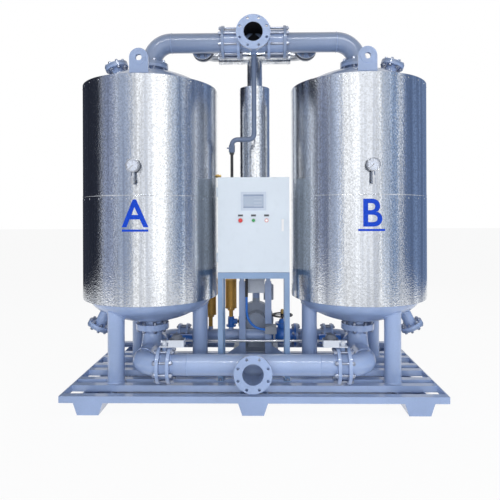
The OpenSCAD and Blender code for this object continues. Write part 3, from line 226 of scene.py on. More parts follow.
class Finish:
    """The nodes of one material, or of the world where that is given."""

    def __init__(self, name, world=None):
        self.owner = world or bpy.data.materials.new(name)
        self.owner.use_nodes = True
        self.tree = self.owner.node_tree
        self.tree.nodes.clear()
        self.place = self.node("ShaderNodeTexCoord", out="Object")

    def node(self, kind, settings=None, sockets=None, out=0):
        """Adds one node: its settings come first, then the values or links of its sockets."""
        node = self.tree.nodes.new(kind)
        for key, value in (settings or {}).items():
            if key == "stops":
                self.set_stops(node.color_ramp, value)
            else:
                setattr(node, key, value)
        for key, value in (sockets or {}).items():
            self.feed(node.inputs[key], value)
        return Wire(self, node.outputs[out]) if node.outputs else node

    def feed(self, socket, value):
        if isinstance(value, Wire):
            self.tree.links.new(value.socket, socket)
        else:
            socket.default_value = value

    @staticmethod
    def set_stops(ramp, stops):
        for element, (position, shade) in zip(ramp.elements, stops):
            element.position = position
            element.color = (shade, shade, shade, 1)
        for position, shade in stops[2:]:
            element = ramp.elements.new(position)
            element.color = (shade, shade, shade, 1)

    def stretched(self, x, y, z):
        """Object coordinates with each axis multiplied."""
        return self.node("ShaderNodeVectorMath", {"operation": "MULTIPLY"}, {0: self.place, 1: (x, y, z)})

    def noise(self, scale, detail=2.0, where=None):
        sockets = {"Vector": where or self.place, "Scale": scale, "Detail": detail, "Roughness": 0.55}
        return self.node("ShaderNodeTexNoise", {}, sockets)

    def cells(self, scale, out="Distance", feature="F1"):
        sockets = {"Vector": self.place, "Scale": scale}
        return self.node("ShaderNodeTexVoronoi", {"feature": feature}, sockets, out)

    def ramp(self, value, *stops):
        return self.node("ShaderNodeValToRGB", {"stops": stops}, {"Fac": value})

    def tint(self, first, second, factor):
        """Colour between two others."""
        return self.node("ShaderNodeMix", {"data_type": "RGBA"}, {0: factor, 6: first, 7: second}, out=2)

    def axis(self, letter):
        """One of the object coordinates."""
        return self.node("ShaderNodeSeparateXYZ", {}, {0: self.place}, out=letter)

    def step(self, value, start, end):
        """Smooth rise from 0 at start to 1 at end."""
        sockets = {"Value": value, "From Min": start, "From Max": end}
        return self.node("ShaderNodeMapRange", {"interpolation_type": "SMOOTHSTEP"}, sockets)

    def facing_up(self):
        """1 on what faces up, 0 on upright faces."""
        normal = self.node("ShaderNodeNewGeometry", out="Normal")
        return self.node("ShaderNodeSeparateXYZ", {}, {0: normal}, out="Z")

    def seen(self):
        """1 for the camera's own rays and for those that mirrors and glass send on."""
        rays = ("Is Camera Ray", "Is Glossy Ray", "Is Transmission Ray")
        camera, glossy, through = (self.node("ShaderNodeLightPath", out=ray) for ray in rays)
        return camera + glossy + through

    def bump(self, height, strength, distance):
        sockets = {"Height": height, "Strength": strength, "Distance": distance}
        return self.node("ShaderNodeBump", {}, sockets)

    def surface(self, **sockets):
        """Adds the Principled shader with these sockets and the output, and returns the material."""
        named = {}
        for key, value in sockets.items():
            named[key.replace("_", " ").title().replace("Ior", "IOR")] = value
        shader = self.node("ShaderNodeBsdfPrincipled", {}, named)
        self.node("ShaderNodeOutputMaterial", {}, {"Surface": shader})
        return self.owner


def shade(colour, factor=1.0):
    """A colour as four numbers, lighter or darker by a factor."""
    return (colour[0] * factor, colour[1] * factor, colour[2] * factor, 1)


def enamel(name, colour, gloss=0.26, dust=0.2, shaded_bores=()):
    """Sprayed enamel with faint orange peel, uneven film and dust on what faces up.

    Shaded bores are the heights of pipes that run along y at x = 0; inside them the wall is bare, with
    painted shade as its dark colour.
    """
    f = Finish(name)
    film = f.ramp(f.noise(1.7, 4), (0.3, 0), (0.72, 1))
    flecks = f.ramp(f.noise(75, 3), (0.42, 0), (0.7, 1))
    base = f.tint(shade(colour, 0.86), shade(colour, 1.1), film)
    base = f.tint(base, shade(colour, 0.78), flecks * 0.18)
    settled = f.ramp(f.facing_up(), (0.35, 0), (0.95, 1)) * f.ramp(f.noise(6, 5), (0.38, 0.25), (0.7, 1))
    base = f.tint(base, (0.46, 0.48, 0.52, 1), settled * dust)
    rough = gloss + 0.16 * f.noise(11, 3) + 0.2 * settled
    peel = f.noise(260, 1)
    coat = 0.7
    # Painted shade: inside each bore the colour is near black, with a rougher wall and no coat.
    for height in shaded_bores:
        drop = f.axis("Z") - height
        bore_shade = f.axis("X") * f.axis("X") + drop * drop < BORE_R**2
        base = f.tint(base, (0.012, 0.013, 0.018, 1), bore_shade)
        rough = rough + 0.3 * bore_shade
        coat = coat * (1 - bore_shade)
    return f.surface(base_color=base, roughness=rough, coat_weight=coat, normal=f.bump(peel, 0.08, 0.0004))


def embossed_sheet(name, colour):
    """Bright sheet with a stucco grain, a mottle and bands that run up the tower, partly rolling streaks
    and partly painted reflection.
    """
    f = Finish(name)
    # Vertical bands: partly the sheet's rolling streaks, partly painted reflection of light and dark
    # surroundings.
    broad = f.ramp(f.noise(1.0, 3, f.stretched(7.5, 7.5, 0.16)), (0.38, 0), (0.54, 1))
    narrow = f.ramp(f.noise(1.0, 2, f.stretched(23, 23, 0.3)), (0.38, 0), (0.54, 1))
    grain = f.node("ShaderNodeSeparateColor", {}, {0: f.cells(170, "Color")}, out=0)
    streak_and_reflection = broad * 0.55 + narrow * 0.45
    base = f.tint(shade(colour, 0.48), shade(colour, 1.03), streak_and_reflection)
    # Bluish tint in the dark bands: painted reflection of the surroundings.
    base = f.tint(base, (0.40, 0.50, 0.74, 1), (1 - streak_and_reflection) * 0.25)
    mottle = f.ramp(f.noise(66, 3), (0.45, 0), (0.58, 1))
    base = f.tint(base, shade(colour, 0.42), f.ramp(grain, (0.35, 0), (0.95, 1)) * 0.24 + mottle * 0.4)
    stucco = f.cells(92, "Distance", "SMOOTH_F1") + 0.3 * f.noise(240, 2)
    rough = 0.07 + 0.07 * f.noise(7, 4) + 0.09 * grain
    return f.surface(base_color=base, metallic=1.0, roughness=rough, normal=f.bump(stucco, 0.42, 0.0022))


def powder_coat(name, colour):
    """Fine textured powder coat with slight cloudiness and a little grime in patches."""
    f = Finish(name)
    cloud = f.noise(2.2, 4)
    base = f.tint(shade(colour, 0.93), shade(colour, 1.05), cloud)
    grime = f.ramp(f.noise(14, 6), (0.55, 0), (0.8, 1))
    base = f.tint(base, shade(colour, 0.7), grime * 0.16)
    rough = 0.42 + 0.12 * f.noise(25, 2)
    return f.surface(base_color=base, roughness=rough, normal=f.bump(f.noise(900, 1), 0.1, 0.0004))


def bare_metal(name, colour, roughness=0.3, grain=240):
    """Turned or plated metal with fine scratches and dull patches."""
    f = Finish(name)
    scratch = f.noise(1.0, 2, f.stretched(grain, grain * 0.25, grain))
    patches = f.ramp(f.noise(16, 5), (0.4, 0), (0.75, 1))
    base = f.tint(shade(colour), shade(colour, 0.62), patches * 0.5)
    rough = roughness + 0.16 * patches + 0.1 * scratch
    return f.surface(base_color=base, metallic=1.0, roughness=rough, normal=f.bump(scratch, 0.08, 0.0005))


def sintered(name, colour):
    """Pressed bronze beads, lighter on their crowns and darker between the beads, as painted light and
    shade.
    """
    f = Finish(name)
    beads = f.cells(330)
    # Painted light: each bead lighter in its middle, and painted shade in the gaps between beads.
    base = f.tint(shade(colour, 1.25), shade(colour, 0.45), f.ramp(beads, (0.2, 0), (0.75, 1)))
    base = f.tint(base, shade(colour, 0.6), f.ramp(f.noise(9, 4), (0.4, 0), (0.75, 0.7)))
    rough = 0.34 + 0.16 * f.noise(40, 2)
    return f.surface(base_color=base, metallic=0.75, roughness=rough, normal=f.bump(1 - beads, 0.5, 0.002))


def cast_iron(name, colour):
    """Painted casting with a pebbled skin."""
    f = Finish(name)
    skin = f.noise(120, 3)
    base = f.tint(shade(colour, 0.75), shade(colour, 1.15), f.noise(18, 4))
    rough = 0.4 + 0.2 * f.noise(30, 3)
    return f.surface(base_color=base, roughness=rough, normal=f.bump(skin, 0.35, 0.0012))


def moulded(name, colour, roughness=0.35, coat=0.0, shine=0.5):
    """Moulded plastic with a faint grain and handling marks."""
    f = Finish(name)
    marks = f.ramp(f.noise(40, 4), (0.45, 0), (0.8, 1))
    base = f.tint(shade(colour), shade(colour, 0.8), marks * 0.35)
    rough = roughness + 0.12 * marks
    skin = f.bump(f.noise(700, 1), 0.08, 0.0003)
    return f.surface(
        base_color=base, roughness=rough, specular_ior_level=shine, coat_weight=coat, normal=skin
    )


def rubber_lines(name, paint_colour, blue):
    """Painted instrument pipe, black and blue hoses, block and bright tube, which are one node."""
    f = Finish(name)
    height = f.axis("Z")
    is_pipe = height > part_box("control_lines")[1][2] - 0.876
    is_low = height < 0.72
    is_block = (height < 0.46) * (f.axis("X") > 0.0919)
    is_tube = height < 0.34
    braid = f.cells(420)
    base = f.tint((0.012, 0.012, 0.014, 1), (0.05, 0.05, 0.055, 1), braid)
    base = f.tint(base, shade(paint_colour, 0.48), is_pipe)
    base = f.tint(base, shade(blue, 1.25), is_low)
    base = f.tint(base, (0.30, 0.33, 0.38, 1), is_block)
    base = f.tint(base, (0.78, 0.80, 0.83, 1), is_tube)
    rough = 0.45 + 0.15 * f.noise(60, 2) - 0.2 * is_tube
    return f.surface(base_color=base, metallic=is_tube, roughness=rough, normal=f.bump(braid, 0.15, 0.0006))


def clear_glass(name):
    """Lens of a gauge, thin and nearly clear, with a wiped film."""
    f = Finish(name)
    film = f.ramp(f.noise(30, 4), (0.4, 0.02), (0.8, 0.1))
    return f.surface(base_color=(0.95, 0.97, 1.0, 1), roughness=film, alpha=0.18 + 0.2 * film)


def lit_screen(name):
    """Grey-blue display with a darker head line, a column of pale fields and a foot line."""
    f = Finish(name)
    low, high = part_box("touch_panel")
    across = (f.axis("X") - (low[0] + 0.02)) * (1 / (high[0] - low[0] - 0.04))
    rise = (f.axis("Z") - (low[2] + 0.02)) * (1 / (high[2] - low[2] - 0.04))
    head = rise > 0.86
    foot = rise < 0.1
    rows = f.node("ShaderNodeMath", {"operation": "PINGPONG"}, {0: rise, 1: 0.125})
    fields = (rows > 0.07) * (across > 0.52) * (across < 0.9) * (1 - head) * (1 - foot)
    base = f.tint((0.27, 0.34, 0.46, 1), (0.36, 0.43, 0.54, 1), f.noise(12, 2))
    base = f.tint(base, (0.37, 0.44, 0.55, 1), fields)
    base = f.tint(base, (0.20, 0.26, 0.38, 1), head + foot)
    return f.surface(base_color=base, roughness=0.16 + 0.06 * f.noise(60, 3), coat_weight=0.4)


def wool(name):
    """Mineral wool behind the jackets."""
    f = Finish(name)
    fibre = f.noise(1.0, 6, f.stretched(90, 90, 30))
    base = f.tint((0.42, 0.34, 0.16, 1), (0.75, 0.66, 0.42, 1), fibre)
    return f.surface(base_color=base, roughness=0.85 + 0.1 * fibre, normal=f.bump(fibre, 0.6, 0.004))


def beads(name):
    """Alumina beads, lighter in their middles, with painted shade in the gaps between them."""
    f = Finish(name)
    ball = f.cells(220)
    # Painted shade between the beads, lighter in their middles.
    base = f.tint((0.82, 0.8, 0.76, 1), (0.42, 0.4, 0.37, 1), f.ramp(ball, (0.3, 0), (0.8, 1)))
    rough = 0.75 + 0.1 * f.noise(50, 2)
    return f.surface(base_color=base, roughness=rough, normal=f.bump(1 - ball, 0.8, 0.003))


def woven_wire(name):
    """Steel screen cloth."""
    f = Finish(name)
    wires = f.node("ShaderNodeTexChecker", {}, {"Vector": f.place, "Scale": 260}, out="Fac")
    base = f.tint((0.45, 0.45, 0.46, 1), (0.16, 0.16, 0.17, 1), wires)
    rough = 0.4 + 0.1 * wires
    return f.surface(base_color=base, metallic=1.0, roughness=rough, normal=f.bump(wires, 0.4, 0.001))


def drive_metal(name):
    """Pale drive housing under a dark cap."""
    f = Finish(name)
    cap = f.axis("Z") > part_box("inlet_actuators")[1][2] - 0.0365
    speckle = f.noise(140, 3)
    base = f.tint((0.52, 0.56, 0.64, 1), (0.66, 0.70, 0.77, 1), speckle)
    base = f.tint(base, (0.10, 0.115, 0.15, 1), cap)
    rough = 0.35 + 0.14 * speckle
    metal = 0.3 * (1 - cap)
    skin = f.bump(speckle, 0.15, 0.0008)
    return f.surface(base_color=base, metallic=metal, roughness=rough, normal=skin)


def switch_cap(name, colour):
    """Glossy button cap with a worn crown."""
    f = Finish(name)
    worn = f.ramp(f.noise(90, 4), (0.45, 0), (0.8, 1))
    base = f.tint(shade(colour), shade(colour, 0.65), worn * 0.4)
    return f.surface(base_color=base, roughness=0.22 + 0.12 * worn, coat_weight=0.3)


def alarm_plastic(name):
    """Red ring round a pale lamp."""
    f = Finish(name)
    front = f.axis("Y") < DOOR_FACE - 0.0085
    base = f.tint((0.55, 0.03, 0.03, 1), (0.86, 0.84, 0.84, 1), front)
    return f.surface(base_color=base, roughness=0.22 + 0.1 * f.noise(60, 3), coat_weight=0.3)


FINISHES = {}


def make_finishes():
    """All materials of the part, by name."""
    c = colours()
    FINISHES.update(
        enamel=enamel("blue_grey_enamel", c.paint),
        # Enamel of the outlet tee, with painted shade in its bore
        bored=enamel("bored_enamel", c.paint, shaded_bores=(OUTLET_Z,)),
        # Same paint, darker: painted shade on the outlet pipes and port covers.
        head=enamel("upper_enamel_painted_shade", shade(c.paint, 0.74)),
        # Same paint made darker and less red: painted shade on the cabinet's stand.
        stand=enamel("stand_enamel_painted_shade", (0.19, 0.305, 0.505)),
        sheet=embossed_sheet("embossed_sheet", c.sheet),
        cabinet=powder_coat("cabinet_powder_coat", c.cabinet),
        iron=cast_iron("valve_casting", shade(c.paint, 0.9)),
        valve=enamel("valve_blue_enamel", c.valve, gloss=0.24, dust=0.1),
        bronze=sintered("sintered_bronze", c.bronze),
        brass=bare_metal("gauge_brass", (0.62, 0.42, 0.16), 0.28),
        steel=bare_metal("plated_steel", (0.56, 0.58, 0.62), 0.3),
        zinc=bare_metal("zinc_bolts", (0.40, 0.44, 0.54), 0.34),
        dark_steel=bare_metal("gauge_steel", (0.26, 0.28, 0.33), 0.26),
        black=moulded("black_plastic", (0.018, 0.018, 0.021), 0.38),
        white=moulded("white_plastic", (0.78, 0.79, 0.81), 0.32, 0.1),
        bezel=moulded("panel_bezel", (0.47, 0.54, 0.65), 0.3, 0.1),
        grey=moulded("terminal_box_grey", (0.44, 0.48, 0.55), 0.4),
        motor=cast_iron("motor_casting", (0.33, 0.38, 0.47)),
        lines=rubber_lines("control_lines", c.paint, c.valve),
        glass=clear_glass("gauge_glass"),
        screen=lit_screen("panel_display"),
        wool=wool("mineral_wool"),
        beads=beads("alumina_beads"),
        mesh=woven_wire("screen_cloth"),
        drive=drive_metal("drive_housing"),
        red=switch_cap("stop_red", (0.55, 0.012, 0.016)),
        green=switch_cap("start_green", (0.02, 0.27, 0.075)),
        lamp=alarm_plastic("alarm_lamp"),
        mark=moulded("tower_mark_blue", c.mark, 0.5, shine=0.1),
        dial=moulded("dial_white", (0.62, 0.69, 0.84), 0.4),
        legend=moulded("legend_dark", (0.05, 0.055, 0.07), 0.35),
    )


NODE_FINISH = {
    "enamel": (
        "skid_frame skid_runners tower_a_vessel tower_b_vessel tower_legs inlet_pipe_a inlet_pipe_b "
        "inlet_manifold heater_posts exhaust_pipes blower_pipe heater_vessel check_valve_bodies"
    ),
    "bored": "outlet_tee",
    "head": "outlet_pipe_a outlet_pipe_b port_covers",
    "stand": "cabinet_stand",
    "sheet": "lower_jackets upper_jackets hot_lagging",
    "wool": "insulation",
    "beads": "desiccant_beds",
    "mesh": "bed_screens",
    "dark_steel": "gauge_cases",
    "black": "gauge_needle_a gauge_needle_b throttle_wheel vent_wheel",
    "glass": "gauge_lenses",
    "steel": (
        "gauge_cocks cock_lever_a cock_lever_b check_flap_a check_flap_b inlet_disc_a inlet_disc_b "
        "exhaust_disc_a exhaust_disc_b heater_elements hot_header hot_check_valves"
    ),
    "zinc": "check_valve_studs",
    "iron": "butterfly_bodies",
    "drive": "inlet_actuators",
    "grey": "heater_terminal_box",
    "valve": "exhaust_actuators throttle_valve vent_valve",
    "bronze": "mufflers",
    "motor": "blower",
    "cabinet": "cabinet_box cabinet_door control_panel",
    "bezel": "touch_panel",
    "white": "door_handle",
    "red": "stop_button",
    "green": "start_button",
    "lamp": "alarm_lamp",
    "lines": "control_lines",
}


def align(axis):
    """Rotation that turns local z to an axis."""
    return Vector(axis).to_track_quat("Z", "Y").to_matrix().to_4x4()


def in_frame(x, y, z):
    """A point that is measured from the tower plane, in the part's own frame."""
    return Vector((x, y + PLANE_Y, z))


def add_piece(name, body, finish, fill, smooth_angle=38):
    """Makes one mesh piece. fill draws it into a bmesh in the part's own frame."""
    mesh = bpy.data.meshes.new(name)
    bm = bmesh.new()
    fill(bm)
    bmesh.ops.recalc_face_normals(bm, faces=bm.faces)
    bm.to_mesh(mesh)
    bm.free()
    mesh.polygons.foreach_set("use_smooth", [True] * len(mesh.polygons))
    mesh.set_sharp_from_angle(angle=math.radians(smooth_angle))
    piece = bpy.data.objects.new(name, mesh)
    bpy.context.scene.collection.objects.link(piece)
    piece.data.materials.append(FINISHES[finish])
    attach(piece, body)
    return piece


def turned(bm, place, profile, count=24, hollow=False):
    """Turns a profile of (radius, height) pairs about local z.

    Its ends are closed, or joined to each other where it is hollow.
    """
    rings = []
    for radius, height in profile:
        ring = []
        for k in range(count):
            angle = 2 * math.pi * k / count
            point = Vector((radius * math.cos(angle), radius * math.sin(angle), height))
            ring.append(bm.verts.new(place @ point))
        rings.append(ring)
    for low, high in zip(rings, rings[1:] + rings[:1] if hollow else rings[1:]):
        for k in range(count):
            bm.faces.new((low[k], low[(k + 1) % count], high[(k + 1) % count], high[k]))
    if not hollow:
        bm.faces.new(rings[0][::-1])
        bm.faces.new(rings[-1])


def hex_nut(bm, at, axis, width, turn=0.0):
    """Washer, chamfered hexagon and the thread's end, standing on a point and reaching along axis."""
    place = Matrix.Translation(at) @ align(axis) @ Matrix.Rotation(turn, 4, "Z")
    corner = width / math.sqrt(3)
    thick = width * 0.1
    height = width * 0.6
    turned(bm, place, [(width * 0.6, 0), (width * 0.6, thick)], 14)
    edge = thick + height * 0.84
    turned(bm, place, [(corner, thick), (corner, edge), (corner * 0.87, thick + height)], 6)
    thread = width * THREAD
    end = thick + height + width * 0.16
    turned(bm, place, [(thread, thick + height * 0.9), (thread, end - 0.001), (width * 0.26, end)], 10)


def circle_points(centre, axis, radius, count, shift=0.0):
    """Points on a circle round an axis, turned by a share of their pitch."""
    axis = Vector(axis).normalized()
    guide = ALONG_X if abs(axis.dot(ALONG_Y)) > 0.9 else ALONG_Y
    u = (guide - axis * guide.dot(axis)).normalized()
    v = axis.cross(u)
    angles = [2 * math.pi * (k + shift) / count for k in range(count)]
    return [Vector(centre) + radius * (math.cos(angle) * u + math.sin(angle) * v) for angle in angles]


def bolt_ring(bm, centre, axis, pcd, count, faces, width, rod=True):
    """Bolts through a flange joint. faces are the outer faces' distances from centre along axis."""
    axis = Vector(axis).normalized()
    for i, point in enumerate(circle_points(centre, axis, pcd / 2, count, 0.5)):
        for distance, way in zip(faces, (-1, 1)):
            if distance is not None:
                hex_nut(bm, point + axis * distance, axis * way, width, 0.3 * i)
        if rod and None not in faces:
            place = Matrix.Translation(point + axis * faces[0]) @ align(axis)
            turned(bm, place, [(width * THREAD, 0), (width * THREAD, faces[1] - faces[0])], 10)


def bead_loop(bm, points, radius):
    """Six-sided bead along a closed loop of points, with ripples like a weld's."""
    sides, ripple = 6, 0.12
    turns = [2 * math.pi * k / sides for k in range(sides)]
    rings = []
    for i, point in enumerate(points):
        way = (points[(i + 1) % len(points)] - points[i - 1]).normalized()
        guide = UP if abs(way.z) < 0.9 else ALONG_X
        u = way.cross(guide).normalized()
        v = way.cross(u)
        size = radius * (1 + ripple * (1 if i % 2 else -1))
        around = [size * (math.cos(turn) * u + math.sin(turn) * v) for turn in turns]
        rings.append([bm.verts.new(point + out) for out in around])
    for low, high in zip(rings, rings[1:] + rings[:1]):
        for k in range(sides):
            bm.faces.new((low[k], low[(k + 1) % sides], high[(k + 1) % sides], high[k]))


def weld_ring(bm, centre, axis, radius, size=None, count=72):
    """Round weld bead on a pipe, half sunk into its skin."""
    bead_loop(bm, circle_points(centre, axis, radius, count), size or sizes().weld)


def plate(bm, low, high, bevel=0.0):
    """Upright box between two corners, with its edges rounded."""
    size = Vector(high) - Vector(low)
    place = Matrix.Translation((Vector(low) + Vector(high)) / 2) @ Matrix.Diagonal((*size, 1))
    made = bmesh.ops.create_cube(bm, size=1, matrix=place)
    if bevel:
        edges = {e for v in made["verts"] for e in v.link_edges}
        bmesh.ops.bevel(bm, geom=list(edges), offset=bevel, segments=2, affect="EDGES")


class DRYER_OT_finishes(bpy.types.Operator):
    """Gives every CAD node its finish"""

    bl_idname = "dryer.finishes"
    bl_label = "Finishes"

    def execute(self, context):
        make_finishes()
        for finish, nodes in NODE_FINISH.items():
            for node in nodes.split():
                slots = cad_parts[node].data.materials
                slots.clear()
                slots.append(FINISHES[finish])
        return {"FINISHED"}


class DRYER_OT_main_bolts(bpy.types.Operator):
    """Bolts of the tower nozzles, the inlet valves and the ports"""

    bl_idname = "dryer.main_bolts"
    bl_label = "Main line bolts"

    def execute(self, context):
        width = sizes().main_nut
        small = sizes().small_nut

        def nozzles(bm):
            for x in TOWERS:
                for z in (TOP_JOINT, LOW_JOINT):
                    bolt_ring(bm, in_frame(x, 0, z), UP, MAIN_BOLTS, 8, (-0.024, 0.024), width, rod=False)

        def inlet_valves(bm):
            for x in (-INLET_VALVE_X, INLET_VALVE_X):
                bolt_ring(bm, (x, INLET_Y, INLET_Z), ALONG_X, MAIN_BOLTS, 8, (-0.052, 0.052), width)

        def ports(bm):
            for sign in (-1, 1):
                for tilt, centre_z, reach, way in PORTS:
                    lean = math.radians(tilt)
                    axis = Vector((sign * math.sin(lean), 0, way * math.cos(lean)))
                    centre = in_frame(sign * TOWER_X, 0, centre_z) + axis * (CROWN_R + reach)
                    bolt_ring(bm, centre, axis, PORT_BOLTS, 8, (-0.02, 0.02), small, rod=False)

        add_piece("nozzle_bolts", "frame", "zinc", nozzles)
        add_piece("inlet_valve_bolts", "frame", "zinc", inlet_valves)
        add_piece("port_bolts", "frame", "zinc", ports)
        return {"FINISHED"}


class DRYER_OT_side_bolts(bpy.types.Operator):
    """Bolts of the exhaust line, the hot line, the heater and the foot plates"""

    bl_idname = "dryer.side_bolts"
    bl_label = "Side line bolts"

    def execute(self, context):
        small = sizes().small_nut
        anchor = sizes().anchor_nut
        throttle = middle("throttle_valve").x

        def exhaust(bm):
            joint = (-0.02, 0.02)
            for sign in (-1, 1):
                branch = in_frame(sign * TOWER_X, 0.15, INLET_Z)
                bolt_ring(bm, branch, ALONG_Y, EXHAUST_BOLTS, 8, joint, small, rod=False)
                valve = (sign * EXHAUST_VALVE_X, EXHAUST_Y, INLET_Z)
                bolt_ring(bm, valve, ALONG_X, EXHAUST_BOLTS, 8, (-0.046, 0.046), small)
                beside = (throttle + sign * 0.13, EXHAUST_Y, INLET_Z)
                bolt_ring(bm, beside, ALONG_X, EXHAUST_BOLTS, 8, joint, small, rod=False)

        def hot_line(bm):
            for sign in (-1, 1):
                valve = in_frame(sign * HOT_VALVE_X, HOT_VALVE_Y, OUTLET_Z)
                bolt_ring(bm, valve, ALONG_Y, PORT_BOLTS, 8, (-0.05, 0.05), small)
            bolt_ring(bm, (0, HEATER_Y, HEATER_JOINT_Z), UP, HEATER_BOLTS, 12, (None, 0.026), small)

        def anchors(bm):
            for x in (-0.27, 0.27):
                for y in (-0.366, -0.284, -0.072):
                    hex_nut(bm, in_frame(x, y, SKID_TOP + 0.008), UP, anchor)
            for sign in (-1, 1):
                for x, y in ((0.122, 0.380), (0.255, 0.288), (0.255, 0.329)):
                    hex_nut(bm, in_frame(sign * x, y, SKID_TOP + 0.008), UP, anchor)
            for x in (-0.195, 0.195):
                for y in (0.45, 0.80):
                    hex_nut(bm, in_frame(x, y, SKID_TOP + 0.01), UP, anchor)

        add_piece("exhaust_bolts", "frame", "zinc", exhaust)
        add_piece("hot_line_bolts", "frame", "zinc", hot_line)
        add_piece("anchor_bolts", "frame", "zinc", anchors)
        return {"FINISHED"}


class DRYER_OT_welds(bpy.types.Operator):
    """Weld beads on pipes, nozzles and legs"""

    bl_idname = "dryer.welds"
    bl_label = "Welds"

    def execute(self, context):
        size = sizes().weld
        neck, elbow = 0.026, 0.152

        def upper(bm):
            for x in TOWERS:
                weld_ring(bm, in_frame(x, 0, TOP_JOINT + neck), UP, PIPE_R + 0.001)
                weld_ring(bm, in_frame(x, 0, CROWN_HIGH_Z + NOZZLE_DROP), UP, PIPE_R + 0.002, size * 1.3)
                weld_ring(bm, in_frame(math.copysign(0.72, x), 0, OUTLET_Z), ALONG_X, PIPE_R, size * 0.7)
                weld_ring(bm, in_frame(math.copysign(0.282, x), 0, OUTLET_Z), ALONG_X, PIPE_R + 0.001)
            weld_ring(bm, in_frame(0, -0.244, OUTLET_Z), ALONG_Y, PIPE_R + 0.001)

        def lower(bm):
            for x in TOWERS:
                weld_ring(bm, in_frame(x, 0, LOW_JOINT - neck), UP, PIPE_R + 0.001)
                weld_ring(bm, in_frame(x, 0, CROWN_LOW_Z - NOZZLE_DROP), UP, PIPE_R + 0.002, size * 1.3)
                weld_ring(bm, in_frame(x, 0, INLET_Z + elbow), UP, PIPE_R, size * 0.7)
                weld_ring(bm, (x, INLET_Y + elbow, INLET_Z), ALONG_Y, PIPE_R, size * 0.7)
                weld_ring(bm, (math.copysign(0.52, x), INLET_Y, INLET_Z), ALONG_X, PIPE_R, size * 0.7)
                weld_ring(bm, (math.copysign(0.642, x), INLET_Y, INLET_Z), ALONG_X, PIPE_R + 0.001)
                weld_ring(bm, (math.copysign(0.75, x), INLET_Y, INLET_Z), ALONG_X, PIPE_R + 0.001)
            weld_ring(bm, (0, INLET_Y - 0.204, INLET_Z), ALONG_Y, PIPE_R + 0.001)

        def legs(bm):
            for sign in (-1, 1):
                for turn in (0, 120, 240):
                    angle = math.radians(turn)
                    x = sign * (-TOWER_X + LEG_CIRCLE_R * math.cos(angle))
                    y = LEG_CIRCLE_R * math.sin(angle)
                    weld_ring(bm, in_frame(x, y, SKID_TOP), UP, LEG_R, size * 1.4, 48)
                    loop = []
                    for k in range(48):
                        t = 2 * math.pi * k / 48
                        px, py = x + (LEG_R + 0.0003) * math.cos(t), y + (LEG_R + 0.0003) * math.sin(t)
                        out = math.hypot(px - sign * -TOWER_X, py)
                        loop.append(in_frame(px, py, CROWN_LOW_Z - math.sqrt(CROWN_R**2 - out**2) - 0.001))
                    bead_loop(bm, loop, size * 1.5)

        add_piece("upper_welds", "frame", "enamel", upper)
        add_piece("lower_welds", "frame", "enamel", lower)
        add_piece("leg_welds", "frame", "enamel", legs)
        return {"FINISHED"}


class DRYER_OT_jacket_trim(bpy.types.Operator):
    """Lap seams and rivets of the sheet jackets and the heater's lagging"""

    bl_idname = "dryer.jacket_trim"
    bl_label = "Jacket trim"

    def execute(self, context):
        rivet = sizes().rivet

        def dome(bm, at, axis):
            place = Matrix.Translation(at) @ align(axis)
            turned(bm, place, [(rivet, 0), (rivet * 0.82, rivet * 0.35), (rivet * 0.4, rivet * 0.55)], 8)

        def rivets(bm):
            for x in TOWERS:
                for z in (JACKET_LOW + 0.025, JACKET_SEAM - 0.018, JACKET_HIGH - 0.025):
                    for k in range(28):
                        angle = 2 * math.pi * (k + 0.5) / 28
                        out = Vector((math.cos(angle), math.sin(angle), 0))
                        dome(bm, in_frame(x, 0, z) + out * JACKET_R, out)

        def laps(bm):
            for x in TOWERS:
                for first, low, high in (
                    (200 if x < 0 else 340, JACKET_LOW + 0.004, JACKET_SEAM - 0.006),
                    (62, JACKET_SEAM + 0.02, JACKET_HIGH - 0.006),
                    (118, JACKET_LOW + 0.004, JACKET_SEAM - 0.006),
                ):
                    rows = []
                    for step in range(5):
                        angle = math.radians(first + step * 0.9)
                        out = JACKET_R + (0.0016 if 0 < step < 4 else 0.0002)
                        at = in_frame(x + out * math.cos(angle), out * math.sin(angle), 0)
                        rows.append([bm.verts.new((at.x, at.y, z)) for z in (low, high)])
                    for left, right in zip(rows, rows[1:]):
                        bm.faces.new((left[0], right[0], right[1], left[1]))

        def heater_laps(bm):
            band = 0.0022
            for z in (1.47, 2.05, 2.62):
                weld_ring(bm, (0, HEATER_Y, z), UP, HEATER_LAGGING_R, band, 64)
            weld_ring(bm, (0, HEATER_Y, 2.78), UP, PIPE_LAGGING_R, band, 40)
            for x in (-0.32, -0.12, 0.12, 0.32):
                weld_ring(bm, (x, HEATER_Y, OUTLET_Z), ALONG_X, PIPE_LAGGING_R, band, 40)

        add_piece("jacket_rivets", "frame", "steel", rivets)
        add_piece("jacket_laps", "frame", "sheet", laps)
        add_piece("lagging_bands", "frame", "steel", heater_laps)
        return {"FINISHED"}


